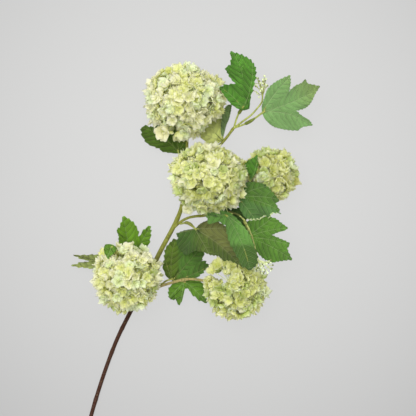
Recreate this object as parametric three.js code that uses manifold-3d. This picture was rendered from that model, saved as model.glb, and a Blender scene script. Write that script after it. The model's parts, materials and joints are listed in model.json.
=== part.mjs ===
// Artificial snowball viburnum spray, cut at its foot and lying on a level surface.
// Millimetres, +Z up, +Y towards the tip. Places are measured from a point beside the upper
// fork, and FOOTPRINT_CENTRE is where the origin, on the surface, lies from there.
import * as THREE from 'three';
import { mergeVertices } from 'three/addons/utils/BufferGeometryUtils.js';
import Module from 'manifold-3d';

const wasm = await Module();
wasm.setup();

const FOOTPRINT_CENTRE = [-26.5, -129.5];
const CLEARANCE = 0.3;             // gap kept between pieces that touch
const MERGE_DISTANCE = 1e-4;
const GOLDEN_ANGLE = Math.PI * (3 - Math.sqrt(5));

const STEM_SIDES = 10;
const STEM_STEPS = 30;
const BRANCH_SIDES = 8;
const TWIG_SIDES = 6;
const HAIR_SIDES = 3;

const LEAF_THICKNESS = 0.9;
const BLADE_RINGS = [0.55, 1];     // rings of points round a leaf's hub, as shares of the way out
const EDGE_STEPS = 2;              // straight steps from one point of a leaf's edge to the next
const EDGE_CLEARANCE = 1.7;        // what a slanting edge needs, as a share of the plain clearance
const PETIOLE_RADIUS = 1.3;
const PETIOLE_STEPS = 5;
const LEAF_FOLD = 0.1;             // rise of a lobe's edge for each millimetre from its midrib
const LOBE_SPREAD = 0.45;          // turn over which one lobe's slope passes to the next
const SLOPE_STEP = 0.5;            // step over which a blade's slope is taken

const FLORET_RADIUS = 13.5;
const FLORET_NOTCH = 0.75;         // notch between two petals, as a share of that radius
const FLORET_DISH = 3;
const FLORET_DEPTH_SHARE = 0.4;    // floret's depth, as a share of the bloom's radius
const THROAT_RADIUS = 2.6;
const THROAT_DEPTH = 3.5;
const PETALS = 5;
const CORE_SHARE = 0.78;           // radius of a bloom's core, as a share of the bloom's
const CORE_DETAIL = 2;
const RIM_SHARES = [0.95, 1.04];   // where florets' rims lie, as shares of the bloom's radius
const FLORET_SIZES = [0.92, 1.08];
const HEADING_NUDGE = 0.12;        // how far a floret leans from its even place
const SURFACE_DEPTH = 60;          // block below the surface that flattens a resting bloom

const BUD_RADIUS = 1.7;
const PEDICEL_RADIUS = 0.55;
const PEDICEL_RISE = 2;            // how far a pedicel's middle rises above its straight line

// ---------------------------------------------------------------- materials

function finish(colour, roughness) {
  return new THREE.MeshStandardMaterial({ color: colour, roughness, metalness: 0 });
}

const BARK = finish(0x4a3320, 0.6);
const GREEN_STEM = finish(0x7d7f3a, 0.55);
const LEAF_DARK = finish(0x3f6526, 0.55);
const LEAF_MID = finish(0x568a3a, 0.55);
const LEAF_PALE = finish(0x7fa35c, 0.6);
const PETAL = finish(0xd3d898, 0.8);
const PETAL_LIME = finish(0xc2cc7c, 0.8);
const BUD = finish(0xa9b878, 0.7);

// ---------------------------------------------------------------- small helpers

function vec(point) {
  return new THREE.Vector3(point[0], point[1], point[2]);
}

// The same run of numbers for the same seed, each from 0 to 1.
function sequence(seed) {
  let state = seed;
  return () => {
    state = (state * 16807) % 2147483647;
    return state / 2147483647;
  };
}

function solidOf(geometry) {
  geometry.deleteAttribute('normal');
  geometry.deleteAttribute('uv');
  const merged = mergeVertices(geometry, MERGE_DISTANCE);
  return new wasm.Manifold(new wasm.Mesh({
    numProp: 3,
    vertProperties: new Float32Array(merged.attributes.position.array),
    triVerts: new Uint32Array(merged.index.array),
  }));
}

function geometryFrom(points, triangles) {
  const geometry = new THREE.BufferGeometry();
  const flat = points.flatMap((point) => point.toArray());
  geometry.setAttribute('position', new THREE.Float32BufferAttribute(flat, 3));
  geometry.setIndex(triangles.flat());
  return geometry;
}

function join(solids) {
  return solids.reduce((whole, next) => whole.add(next));
}

// The largest piece of a solid, without the scraps that a cut leaves.
function largest(solid) {
  const parts = solid.decompose();
  return parts.reduce((best, part) => (part.volume() > best.volume() ? part : best));
}

// ---------------------------------------------------------------- tubes

// A closed round tube along a smooth line. Radii belong to the path's points in turn.
function tube(path, radii, sides, steps, grow = 0) {
  const curve = new THREE.CatmullRomCurve3(path.map(vec));
  const points = [];
  const triangles = [];
  const wider = grow / Math.cos(Math.PI / sides);
  let across = new THREE.Vector3(0, 0, 1);
  for (let step = 0; step <= steps; step += 1) {
    const t = step / steps;
    const along = curve.getTangent(t);
    const centre = curve.getPoint(t);
    if (step === 0) centre.addScaledVector(along, -grow);
    if (step === steps) centre.addScaledVector(along, grow);
    across = across.addScaledVector(along, -across.dot(along)).normalize();
    const third = new THREE.Vector3().crossVectors(along, across);
    const place = t * (path.length - 1);
    const first = Math.min(Math.floor(place), path.length - 2);
    const radius = THREE.MathUtils.lerp(radii[first], radii[first + 1], place - first) + wider;
    for (let side = 0; side < sides; side += 1) {
      const turn = (2 * Math.PI * side) / sides;
      points.push(centre.clone()
        .addScaledVector(across, radius * Math.cos(turn))
        .addScaledVector(third, radius * Math.sin(turn)));
    }
  }
  for (let step = 0; step < steps; step += 1) {
    for (let side = 0; side < sides; side += 1) {
      const a = step * sides + side;
      const b = step * sides + ((side + 1) % sides);
      triangles.push([a, b, b + sides], [a, b + sides, a + sides]);
    }
  }
  for (let side = 1; side < sides - 1; side += 1) {
    const last = steps * sides;
    triangles.push([0, side + 1, side], [last, last + side, last + side + 1]);
  }
  return solidOf(geometryFrom(points, triangles));
}

// ---------------------------------------------------------------- leaves

// A leaf's closed outline, smooth along each run of its edge, with a corner where a run ends.
function leafOutline(edge) {
  const outline = [];
  let start = edge.at(-1).at(-1);
  for (const run of edge) {
    const line = [start, ...run].map(([x, y]) => new THREE.Vector3(x, y, 0));
    const curve = new THREE.CatmullRomCurve3(line);
    const steps = run.length > 1 ? EDGE_STEPS * run.length : 1;
    for (let step = 1; step <= steps; step += 1) outline.push(curve.getPoint(step / steps));
    start = run.at(-1);
  }
  return outline;
}

// The same outline with its points pushed outwards.
function pushedOut(outline, distance) {
  return outline.map((point, i) => {
    const arriving = point.clone().sub(outline.at(i - 1)).normalize();
    const leaving = outline[(i + 1) % outline.length].clone().sub(point).normalize();
    const along = arriving.add(leaving).normalize();
    return new THREE.Vector3(point.x + distance * along.y, point.y - distance * along.x, 0);
  });
}

// Height of a blade at a point: its lobes' slopes blend, and each lobe folds up along its midrib.
function bladeHeight({ base, tips, arch = 0 }, x, y) {
  const spoke = new THREE.Vector2(x - base[0], y - base[1]);
  const reach = spoke.length();
  const lobes = tips.map((tip) => {
    const heading = new THREE.Vector2(tip[0] - base[0], tip[1] - base[1]);
    const length = heading.length();
    const turn = heading.normalize().distanceTo(spoke.clone().normalize());
    return { length, turn, slope: (tip[2] - base[2]) / length };
  });
  const pulls = lobes.map(({ turn }) => Math.exp(-((turn / LOBE_SPREAD) ** 2)));
  const total = pulls.reduce((sum, pull) => sum + pull, 0);
  const slope = lobes.reduce((sum, lobe, i) => sum + lobe.slope * pulls[i], 0) / total;
  const nearest = Math.min(1, ...lobes.map(({ turn }) => turn));
  const share = Math.min(reach / lobes[0].length, 1);
  return base[2] + slope * reach + LEAF_FOLD * reach * Math.sin(nearest) + 4 * arch * share * (1 - share);
}

// A thin closed blade: rings of points round its hub, from which its whole edge is in sight.
function blade(form, grow) {
  const hub = vec([...form.hub, 0]);
  const outline = pushedOut(leafOutline(form.edge), EDGE_CLEARANCE * grow);
  const half = LEAF_THICKNESS / 2 + grow;
  const lower = [];
  const upper = [];
  const place = ({ x, y }) => {
    const at = (u, v) => vec([u, v, bladeHeight(form, u, v)]);
    const point = at(x, y);
    const ahead = at(x + SLOPE_STEP, y).sub(point);
    const aside = at(x, y + SLOPE_STEP).sub(point);
    const normal = ahead.cross(aside).normalize();
    lower.push(point.clone().addScaledVector(normal, -half));
    upper.push(point.clone().addScaledVector(normal, half));
  };
  place(hub);
  for (const ring of BLADE_RINGS) {
    for (const point of outline) place(hub.clone().lerp(point, ring));
  }
  const count = outline.length;
  const top = lower.length;
  const triangles = [];
  for (let i = 0; i < count; i += 1) {
    const next = (i + 1) % count;
    const [inner, innerNext] = [1 + i, 1 + next];
    const [outer, outerNext] = [inner + count, innerNext + count];
    const faces = [[0, inner, innerNext], [inner, outer, outerNext], [inner, outerNext, innerNext]];
    for (const [a, b, c] of faces) triangles.push([a + top, b + top, c + top], [a, c, b]);
    triangles.push([outer, outerNext, outerNext + top], [outer, outerNext + top, outer + top]);
  }
  return solidOf(geometryFrom([...lower, ...upper], triangles));
}

// A leaf: its petiole and its blade in one.
function leaf(form) {
  const radii = form.petiole.map(() => PETIOLE_RADIUS);
  return (grow) => {
    const stalk = tube(form.petiole, radii, TWIG_SIDES, PETIOLE_STEPS, grow);
    return stalk.add(blade(form, grow));
  };
}

// ---------------------------------------------------------------- blooms

// One floret: a five-petalled trumpet on a short throat, open towards +Z, rim at height 0.
function floretGeometry(depth, size) {
  const points = [new THREE.Vector3(0, 0, -FLORET_DISH), new THREE.Vector3(0, 0, -depth)];
  for (let i = 0; i < 2 * PETALS; i += 1) {
    const turn = (Math.PI * i) / PETALS;
    const radius = FLORET_RADIUS * size * (i % 2 ? FLORET_NOTCH : 1);
    const height = i % 2 ? 0 : -1;
    points.push(new THREE.Vector3(radius * Math.cos(turn), radius * Math.sin(turn), height));
  }
  const throat = points.length;
  for (let i = 0; i < PETALS; i += 1) {
    const turn = (2 * Math.PI * i) / PETALS;
    points.push(new THREE.Vector3(
      THROAT_RADIUS * Math.cos(turn), THROAT_RADIUS * Math.sin(turn), -FLORET_DISH - THROAT_DEPTH));
  }
  const triangles = [];
  for (let i = 0; i < 2 * PETALS; i += 1) {
    triangles.push([0, 2 + i, 2 + ((i + 1) % (2 * PETALS))]);
  }
  for (let i = 0; i < PETALS; i += 1) {
    const [tip, notch, next] = [2 + 2 * i, 3 + 2 * i, 2 + ((2 * i + 2) % (2 * PETALS))];
    const [low, lowNext] = [throat + i, throat + ((i + 1) % PETALS)];
    triangles.push([tip, low, notch], [notch, low, lowNext], [notch, lowNext, next]);
    triangles.push([low, 1, lowNext]);
  }
  return geometryFrom(points, triangles);
}

// Directions spread evenly over a sphere, each nudged a little.
function spread(count, random) {
  const directions = [];
  for (let i = 0; i < count; i += 1) {
    const height = 1 - (2 * i + 1) / count;
    const ring = Math.sqrt(1 - height * height);
    const turn = i * GOLDEN_ANGLE;
    const direction = new THREE.Vector3(ring * Math.cos(turn), ring * Math.sin(turn), height);
    const shift = new THREE.Vector3(random() - 0.5, random() - 0.5, random() - 0.5);
    directions.push(direction.addScaledVector(shift, HEADING_NUDGE).normalize());
  }
  return directions;
}

// A snowball head: florets stand out of a round core, and the surface flattens its underside.
function bloom({ centre, radius, florets, seed }) {
  const random = sequence(seed);
  const middle = vec(centre);
  const core = new THREE.IcosahedronGeometry(radius * CORE_SHARE, CORE_DETAIL);
  const solids = [solidOf(core.translate(...centre))];
  for (const direction of spread(florets, random)) {
    const rim = radius * THREE.MathUtils.lerp(...RIM_SHARES, random());
    const size = THREE.MathUtils.lerp(...FLORET_SIZES, random());
    const spin = 2 * Math.PI * random();
    const turned = new THREE.Quaternion()
      .setFromUnitVectors(new THREE.Vector3(0, 0, 1), direction)
      .multiply(new THREE.Quaternion().setFromAxisAngle(new THREE.Vector3(0, 0, 1), spin));
    const place = new THREE.Matrix4().compose(
      middle.clone().addScaledVector(direction, rim), turned, new THREE.Vector3(1, 1, 1));
    const floret = floretGeometry(radius * FLORET_DEPTH_SHARE, size);
    solids.push(solidOf(floret.applyMatrix4(place)));
  }
  const below = new THREE.BoxGeometry(4 * radius, 4 * radius, SURFACE_DEPTH);
  below.translate(centre[0], centre[1], -SURFACE_DEPTH / 2);
  return () => join(solids).subtract(solidOf(below));
}

// ---------------------------------------------------------------- buds

// Hair-thin pedicels from the end of a twig, each with one small bud.
function budCluster({ twig, radii, from, buds }) {
  const thin = [PEDICEL_RADIUS, PEDICEL_RADIUS, PEDICEL_RADIUS];
  return (grow) => {
    const solids = [tube(twig, radii, TWIG_SIDES, 3 * twig.length, grow)];
    for (const bud of buds) {
      const bend = [0, 1, 2].map((axis) => (from[axis] + bud[axis]) / 2);
      bend[2] += PEDICEL_RISE;
      solids.push(tube([from, bend, bud], thin, HAIR_SIDES, 1, grow));
      const ball = new THREE.OctahedronGeometry(BUD_RADIUS + Math.sqrt(3) * grow, 0);
      solids.push(solidOf(ball.translate(...bud)));
    }
    return join(solids);
  };
}

// ---------------------------------------------------------------- the spray

const FOOT = [-191, -452, 2.45];
const STEM_PATH = [
  FOOT, [-177, -395, 2.45], [-148, -263, 2.6], [-118, -173, 3.2], [-97, -129, 4.2],
  [-61, -59, 7], [-35, 0, 10], [-28, 48, 13.5], [-26, 90, 25], [-25, 122, 42],
];
const STEM_RADII = [2.4, 2.4, 2.5, 2.5, 2.6, 2.8, 2.5, 2, 1.7, 1.5];

const BRANCHES = {
  branch_lower_left: {
    path: [[-91, -116, 5], [-94, -107, 16], [-99, -97, 30], [-101, -88, 46]],
    radii: [1.8, 1.7, 1.6, 1.5],
  },
  branch_lower_right: {
    path: [
      [-83, -100, 5.5], [-72, -102, 11], [-50, -95, 26],
      [-23, -89, 35], [9, -94, 38.5], [24, -98, 39],
    ],
    radii: [2, 1.9, 1.8, 1.7, 1.6, 1.5],
  },
  branch_right: {
    path: [[-54, -44, 8], [-43, -27, 18], [-26, -14, 33], [-2, -9, 50], [17, -6, 57], [28, -5.8, 60]],
    radii: [1.8, 1.8, 1.7, 1.6, 1.5, 1.5],
  },
  branch_right_tip: {
    path: [[28, -5.8, 60], [36, -7.5, 61.5], [45, -15, 63], [52, -29, 63], [57, -43.5, 62.5], [60, -58, 61]],
    radii: [1.5, 1.5, 1.4, 1.3, 1.2, 1.1],
  },
  branch_middle: {
    path: [[-34, 3, 10], [-25, 10, 22], [-12, 22, 36], [-3, 32, 56]],
    radii: [1.8, 1.7, 1.6, 1.5],
  },
  branch_behind: {
    path: [[-30, 22, 12], [-15, 28, 15], [5, 30, 19], [28, 34, 24], [62, 39.5, 32]],
    radii: [1.8, 1.7, 1.7, 1.6, 1.5],
  },
  branch_upper: {
    path: [
      [-28, 55, 15], [-19, 63, 19], [-5, 68, 26], [6, 73, 32],
      [15, 79, 37], [24, 89, 42], [32, 100, 46],
    ],
    radii: [1.8, 1.8, 1.7, 1.7, 1.7, 1.7, 1.6],
  },
};

// A leaf's tips are those of its lobes. Its hub is a point from which its whole edge is in sight,
// and its edge is a list of smooth runs, each of which ends at a corner.
const LEAVES = {
  leaf_top: {
    finish: LEAF_DARK,
    petiole: [[32, 99.5, 46], [37.4, 115.9, 48], [44.5, 127, 52]],
    base: [43.6, 123.9, 51],
    hub: [44.5, 149],
    tips: [[29, 193.5, 74], [15.5, 149, 72], [55, 181, 66]],
    edge: [
      [[53.5, 140.5], [58.5, 159], [59, 172.5], [53, 183], [41, 189.5], [28, 193.5]], [[29, 184],
      [27.5, 177], [21.5, 173.5]], [[24.5, 168], [27, 162], [36.5, 153.5]], [[21.5, 152.5],
      [14, 149]], [[22.5, 136.5], [30, 128], [43.5, 121.5], [51.5, 123.5]],
    ],
  },
  leaf_top_right: {
    finish: LEAF_MID,
    petiole: [[32, 99.5, 46], [51.1, 107.2, 48], [71, 121, 51.5]],
    base: [68.2, 119.6, 51],
    hub: [92, 127],
    tips: [[140.1, 150.3, 58], [102.3, 163.6, 66], [130.7, 102.7, 44]],
    edge: [
      [[72, 109.5], [81, 102], [94.5, 98], [112.5, 96.5]], [[116, 100], [130.5, 103]], [[126, 109],
      [118.5, 113], [110, 121]], [[121.5, 124.5], [128, 130.5], [133, 140.5], [139.5, 150.5]],
      [[130.5, 152.5], [124, 154.5], [121.5, 159.5]], [[119, 155.5], [109, 151.5], [101, 144.5]],
      [[103, 154.5], [102.5, 164.5]], [[87, 158], [75, 148.5], [70.5, 137.5], [67, 128],
      [67, 118.5]],
    ],
  },
  leaf_top_left: {
    finish: LEAF_DARK,
    petiole: [[-29, 53, 14], [-35.3, 63, 16], [-38, 73.5, 16.5]],
    base: [-37.2, 70.6, 16],
    hub: [-53, 88],
    tips: [[-84.2, 101.8, 24], [-43, 117, 4], [-25.5, 92, 8]],
    edge: [
      [[-83.5, 94.5], [-80, 85.5], [-75, 80]], [[-66.5, 76.5], [-61, 74.5], [-58, 71]],
      [[-48, 69.5], [-35.5, 68.5], [-26.5, 71]], [[-26, 79.5], [-28, 91], [-31.5, 105], [-40, 121]],
      [[-48, 114], [-58, 106], [-70.5, 102], [-79, 104.5]], [[-84, 100]],
    ],
  },
  leaf_behind_top: {
    finish: LEAF_PALE,
    petiole: [[19, 83, 39], [16.5, 84, 37.5], [12, 87, 34]],
    base: [15.6, 83.2, 37],
    hub: [4, 100.5],
    tips: [[-3.8, 121.3, 9], [-10.1, 95.7, 20]],
    edge: [
      [[16.5, 94], [16.5, 104.5], [17, 118.5], [9, 121.5], [-2.5, 123]], [[-12.5, 115],
      [-14.5, 102], [-10, 90.5]], [[0, 80.5], [10, 79.5], [18, 84.5]],
    ],
  },
  leaf_behind_fold: {
    finish: LEAF_DARK,
    petiole: [[20, 84, 40], [19, 85.5, 38.5], [18, 89, 37]],
    base: [17.5, 86, 37],
    hub: [22, 110],
    tips: [[29, 131.7, 30]],
    edge: [
      [[20.5, 94], [23, 104], [26.5, 112], [29, 123], [30, 130]], [[24, 128.5], [19, 120.5],
      [16.5, 107.5], [16, 95], [18.5, 86.5]],
    ],
  },
  leaf_right_small: {
    finish: LEAF_DARK,
    petiole: [[40, 35.5, 27], [48.6, 31.1, 48], [52.5, 34, 66]],
    base: [52, 32.2, 66],
    hub: [55, 49.5],
    tips: [[61.2, 64.9, 71], [45, 52, 68]],
    edge: [
      [[59, 43.5], [62, 52.5], [61.5, 59.5], [61, 65.5]], [[54.5, 61], [48.5, 57.5], [43.5, 52]],
      [[47.5, 47.5], [51, 41], [52.5, 33]],
    ],
  },
  leaf_right: {
    finish: LEAF_MID,
    petiole: [[22.6, 33, 22.5], [28.7, 22.5, 42], [40, 13, 60.5]],
    base: [37.2, 13.7, 60],
    hub: [59.5, 10],
    tips: [[90.3, -3.7, 52], [74, 27, 73], [58, -13, 50], [86, 11, 62]],
    edge: [
      [[39, 0], [47.5, -13], [55, -15], [65, -14]], [[71, -10], [75.5, -13]], [[81, -6.5],
      [91, -7.5]], [[85, -6.5]], [[89, -3.5]], [[84, 5.5]], [[88.5, 9]], [[79.5, 20], [70.5, 29],
      [58, 32], [42.5, 32]], [[38, 23.5], [35, 13.5]],
    ],
  },
  leaf_lower: {
    finish: LEAF_DARK,
    petiole: [[-61, -99, 18], [-52.7, -91.7, 26], [-44, -89, 30]],
    base: [-45.2, -91.6, 30],
    hub: [-34, -70.5],
    tips: [[-40.9, -39, 20], [1.3, -72.8, 29], [-54, -64, 24], [-14, -56, 27]],
    edge: [
      [[-30, -92.5], [-15, -88], [-5, -79.5], [2, -71.5]], [[-3, -70], [-1.5, -67]], [[-10, -69]],
      [[-7, -63.5], [-4.5, -56.5]], [[-16.5, -49], [-31.5, -44], [-42, -38.5]], [[-48, -44],
      [-53.5, -52], [-54.5, -61.5], [-57, -72.5]], [[-52.5, -85.5], [-44, -92]],
    ],
  },
  leaf_centre: {
    finish: LEAF_DARK,
    petiole: [[-35, -20, 25], [-25.1, -18.8, 33], [-14, -27.5, 38.5]],
    base: [-16.3, -26.3, 38],
    hub: [-1, -37.5],
    tips: [[39.6, -71.9, 68], [4, -62, 48], [-39.4, -32, 36], [19, -25, 54]],
    edge: [
      [[-29, -28], [-40, -32]], [[-37.5, -37], [-39.5, -42]], [[-35, -51.5], [-27.5, -58.5],
      [-17.5, -53.5], [-6, -55], [3.5, -58.5], [13, -59.5]], [[19.5, -66.5]], [[25, -65],
      [34.5, -69], [41, -72.5]], [[39.5, -61], [35.5, -47], [28.5, -33.5], [22.5, -23.5], [10, -17],
      [-1, -16], [-10, -20], [-15.5, -25.5]],
    ],
  },
  leaf_bent: {
    finish: LEAF_MID,
    arch: 5,
    petiole: [[9, -7.3, 54], [16.2, -6.2, 58], [24.5, -10, 62.5]],
    base: [22.3, -8.1, 62],
    hub: [23.5, -13.5],
    tips: [[51.9, -76.6, 74], [-4.3, -11.2, 60], [50, -29, 66]],
    edge: [
      [[-1, -12.5], [0.5, -19.5]], [[12.5, -16.5], [22, -21.5]], [[23, -28.5], [26, -41],
      [31.5, -52], [36.5, -62], [41.5, -71.5], [52, -77]], [[59.5, -70], [60, -57], [55, -43.5],
      [51.5, -33.5], [44.5, -23.5], [34.5, -12], [22.5, -3.5], [8.5, -1], [-2, -6]],
    ],
  },
  leaf_shaded: {
    finish: LEAF_DARK,
    petiole: [[-2.5, -8.7, 50], [7.5, -1.5, 50], [20, -0.5, 50]],
    base: [17.4, 1.2, 50],
    hub: [30, -8.5],
    tips: [[52.4, -34.9, 48], [21.2, -22.5, 46]],
    edge: [
      [[22.5, -17], [37.5, -26], [53, -34.5]], [[46.5, -11], [40, -0.5]], [[23.5, 2], [7.5, -2]],
    ],
  },
  leaf_lower_right: {
    finish: LEAF_MID,
    petiole: [[44.5, -14.5, 63], [47.5, -26, 59.5], [55, -35.5, 56.4]],
    base: [48.5, -36.1, 56],
    hub: [67, -35],
    tips: [[99.9, -24.8, 60], [104.6, -64.8, 50], [78, -14, 54], [102, -46, 54]],
    edge: [
      [[51, -31], [57, -48.5], [68, -62], [80, -68]], [[91, -66], [104.5, -64.5]], [[101.5, -58],
      [98.5, -51.5], [102, -44.5]], [[91, -39], [79, -33.5]], [[86, -31], [94, -29.5], [99.5, -25]],
      [[92, -19.5], [83.5, -13], [71, -11], [59.5, -14.5], [49, -16]],
    ],
  },
  leaf_hanging: {
    finish: LEAF_MID,
    petiole: [[-40, -92, 30], [-35.1, -91.6, 30.5], [-28, -93, 29]],
    base: [-30.1, -92.2, 29],
    hub: [-27.5, -95.5],
    tips: [[-35.2, -121.5, 20], [-1.9, -120.9, 18], [-48, -112, 22]],
    edge: [
      [[-41.5, -115], [-35.5, -122.5]], [[-32.5, -112.5], [-30, -102.5], [-26, -100], [-21.5, -107],
      [-11.5, -115.5], [-2, -120]], [[-2, -112], [-5, -105], [0, -103.5]], [[-4.5, -95.5],
      [-15, -91.5], [-30, -90.5], [-41, -93], [-48.5, -100], [-50, -107.5], [-47.5, -115]],
    ],
  },
  leaf_left_top: {
    finish: LEAF_MID,
    petiole: [[-79, -94, 5.5], [-87.3, -81, 4.5], [-98.5, -62.5, 6.8]],
    base: [-97.4, -65.7, 6],
    hub: [-93.5, -55.5],
    tips: [[-106, -10, 46], [-72, -22.5, 34]],
    edge: [
      [[-112, -35], [-112, -44], [-108.5, -59], [-97.5, -67.5], [-84.5, -60.5], [-75, -46.5],
      [-71.5, -31.5], [-72.5, -22.5]], [[-79, -26.5], [-84, -34], [-87.5, -41]], [[-87, -32],
      [-90.5, -21.5], [-97.5, -14.5], [-105, -10]], [[-107.5, -17], [-110.5, -24.5],
      [-114.5, -27.5]],
    ],
  },
  leaf_left_flap: {
    finish: LEAF_MID,
    petiole: [[-97.5, -98, 26], [-108, -72, 48], [-117, -50, 72], [-119.5, -47.5, 74]],
    base: [-118.5, -45.5, 73.5],
    hub: [-121.5, -52],
    tips: [[-125.5, -64.5, 82]],
    edge: [
      [[-128.5, -50], [-127.5, -55.5], [-123, -63]], [[-120, -59], [-115.5, -55.5], [-112, -49.5]],
      [[-117.5, -45.5], [-122.5, -44.5], [-127, -45]],
    ],
  },
  leaf_left_edge: {
    finish: LEAF_PALE,
    petiole: [[-86, -108.7, 5], [-105, -92.4, 3], [-126, -72, 8.8]],
    base: [-123.8, -73.3, 8],
    hub: [-132.5, -69],
    tips: [[-168.1, -57.7, 30], [-173.3, -73.5, 26]],
    edge: [
      [[-161, -63], [-151, -65], [-145, -67]], [[-156, -67.5], [-172, -72.5]], [[-158.5, -74.5],
      [-146, -76.5], [-131, -77.5], [-121, -73.5], [-126, -63.5], [-137.5, -59], [-153.5, -59],
      [-169, -58.5]],
    ],
  },
};

const BUD_CLUSTERS = {
  buds_upper: {
    twig: [[32, 99.5, 46], [42, 107, 48], [54, 116, 50], [62, 125, 51], [67, 132, 52], [68, 141, 53]],
    radii: [1.3, 1.2, 1.1, 1, 1, 0.9],
    from: [68, 140, 53],
    buds: [
      [60.9, 161.6, 56], [70.2, 164, 58], [72.1, 160.4, 55], [65.2, 155.4, 57], [60.3, 152.4, 54],
      [67.1, 147.9, 57], [61.6, 142.5, 53], [72.8, 153, 55],
    ],
  },
  buds_lower: {
    twig: [[60, -57.8, 61], [61.5, -62, 60.7], [63, -66, 60.5]],
    radii: [1.1, 1, 0.9],
    from: [62.5, -65, 60.5],
    buds: [
      [58.6, -72.1, 59], [66.1, -74.1, 58], [73.1, -69.4, 57], [78.1, -68.1, 56], [79.6, -75.9, 54],
      [74.5, -80.9, 52], [67.2, -81.9, 52], [60, -80.6, 54], [55.9, -85.5, 50], [53.9, -78.3, 56],
    ],
  },
};

const BLOOMS = {
  bloom_top: { centre: [-25, 133, 50], radius: 50, florets: 32, seed: 11, finish: PETAL },
  bloom_middle: { centre: [0, 36, 82], radius: 47, florets: 28, seed: 23, finish: PETAL },
  bloom_lower_left: { centre: [-101, -87, 54], radius: 44, florets: 27, seed: 37, finish: PETAL },
  bloom_lower_right: { centre: [36, -102, 39], radius: 39.5, florets: 22, seed: 41, finish: PETAL_LIME },
  bloom_right: { centre: [76, 41, 34], radius: 34.5, florets: 17, seed: 53, finish: PETAL_LIME },
};

// ---------------------------------------------------------------- assembly

const recipes = [];

function add(name, material, make) {
  recipes.push({ name, material, make });
}

add('main_stem', BARK, (grow) => tube(STEM_PATH, STEM_RADII, STEM_SIDES, STEM_STEPS, grow));
for (const [name, { path, radii }] of Object.entries(BRANCHES)) {
  const steps = 2 * path.length;
  add(name, GREEN_STEM, (grow) => tube(path, radii, BRANCH_SIDES, steps, grow));
}
for (const [name, form] of Object.entries(LEAVES)) add(name, form.finish, leaf(form));
for (const [name, form] of Object.entries(BUD_CLUSTERS)) add(name, BUD, budCluster(form));
for (const [name, form] of Object.entries(BLOOMS)) add(name, form.finish, bloom(form));

function boxesMeet(a, b) {
  return [0, 1, 2].every((axis) => a.min[axis] <= b.max[axis] && b.min[axis] <= a.max[axis]);
}

// Every piece gives way to the pieces before it, and keeps the clearance to them.
const group = new THREE.Group();
group.name = 'snowball_viburnum_spray';
group.position.set(-FOOTPRINT_CENTRE[0], -FOOTPRINT_CENTRE[1], 0);
const earlier = [];
for (const { name, material, make } of recipes) {
  let solid = make(0);
  for (const grown of earlier) {
    if (!boxesMeet(solid.boundingBox(), grown.boundingBox())) continue;
    if (solid.intersect(grown).isEmpty()) continue;
    solid = largest(solid.subtract(grown));
  }
  earlier.push(make(CLEARANCE));
  const { vertProperties, triVerts } = solid.getMesh();
  const geometry = new THREE.BufferGeometry();
  geometry.setAttribute('position', new THREE.BufferAttribute(vertProperties, 3));
  geometry.setIndex(new THREE.BufferAttribute(triVerts, 1));
  geometry.computeVertexNormals();
  const mesh = new THREE.Mesh(geometry, material);
  mesh.name = name;
  group.add(mesh);
}

export default group;
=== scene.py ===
import json
import math

import bmesh
import bpy
import numpy as np
from mathutils import Matrix, Quaternion, Vector, noise
from mathutils.bvhtree import BVHTree

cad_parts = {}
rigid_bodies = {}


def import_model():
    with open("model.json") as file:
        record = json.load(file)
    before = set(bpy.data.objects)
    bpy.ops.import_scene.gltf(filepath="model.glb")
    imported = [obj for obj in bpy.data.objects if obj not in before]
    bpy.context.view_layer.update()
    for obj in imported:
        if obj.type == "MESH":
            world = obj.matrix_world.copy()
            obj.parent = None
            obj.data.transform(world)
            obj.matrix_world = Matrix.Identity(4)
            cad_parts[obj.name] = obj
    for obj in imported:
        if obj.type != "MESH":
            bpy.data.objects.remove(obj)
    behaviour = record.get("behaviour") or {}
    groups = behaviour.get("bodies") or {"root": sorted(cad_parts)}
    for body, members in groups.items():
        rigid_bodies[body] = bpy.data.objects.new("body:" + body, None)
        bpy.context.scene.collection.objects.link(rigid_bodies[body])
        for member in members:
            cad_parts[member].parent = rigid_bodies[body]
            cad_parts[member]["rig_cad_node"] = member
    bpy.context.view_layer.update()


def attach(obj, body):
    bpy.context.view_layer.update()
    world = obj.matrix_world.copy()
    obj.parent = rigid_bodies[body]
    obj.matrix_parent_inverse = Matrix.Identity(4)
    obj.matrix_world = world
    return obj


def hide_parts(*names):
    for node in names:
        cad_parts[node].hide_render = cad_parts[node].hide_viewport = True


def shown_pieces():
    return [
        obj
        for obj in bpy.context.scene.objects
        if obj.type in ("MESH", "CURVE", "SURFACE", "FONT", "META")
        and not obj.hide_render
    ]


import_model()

# Artificial snowball viburnum spray, lying on a level surface. Shapes are modelled in
# millimetres, measured from a point beside the upper fork as in the part's source, and
# every mesh is turned into metres in the shared frame as its last step. Materials, lights
# and the camera are in metres from the start.
MM = 0.001
FOOTPRINT_CENTRE = Vector((-26.5, -129.5, 0))
TO_FRAME = Matrix.Scale(MM, 4) @ Matrix.Translation(-FOOTPRINT_CENTRE)
GOLDEN_ANGLE = math.pi * (3 - math.sqrt(5))
LOWEST = 0.1                    # nothing comes nearer to the surface than this

# ---------------------------------------------------------------- small helpers


def sequence(seed):
    """The same run of numbers for the same seed, each from 0 to 1."""
    state = seed
    while True:
        state = (state * 16807) % 2147483647
        yield state / 2147483647


def between(low, high, random):
    return low + (high - low) * next(random)


def nudge(random):
    """A small push in any direction, up to half a unit each way."""
    return Vector([next(random) - 0.5 for _ in range(3)])


def mix(a, b, share):
    return a + (b - a) * share


def smooth(low, high, value):
    """0 below a low value and 1 above a high one, with a soft rise between them."""
    share = min(max((value - low) / (high - low), 0), 1)
    return share * share * (3 - 2 * share)


def turned_to(direction, spin=0):
    """The turn that takes +Z to a direction, after a spin about +Z."""
    lean = Vector((0, 0, 1)).rotation_difference(direction)
    return (lean @ Quaternion((0, 0, 1), spin)).to_matrix()


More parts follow.
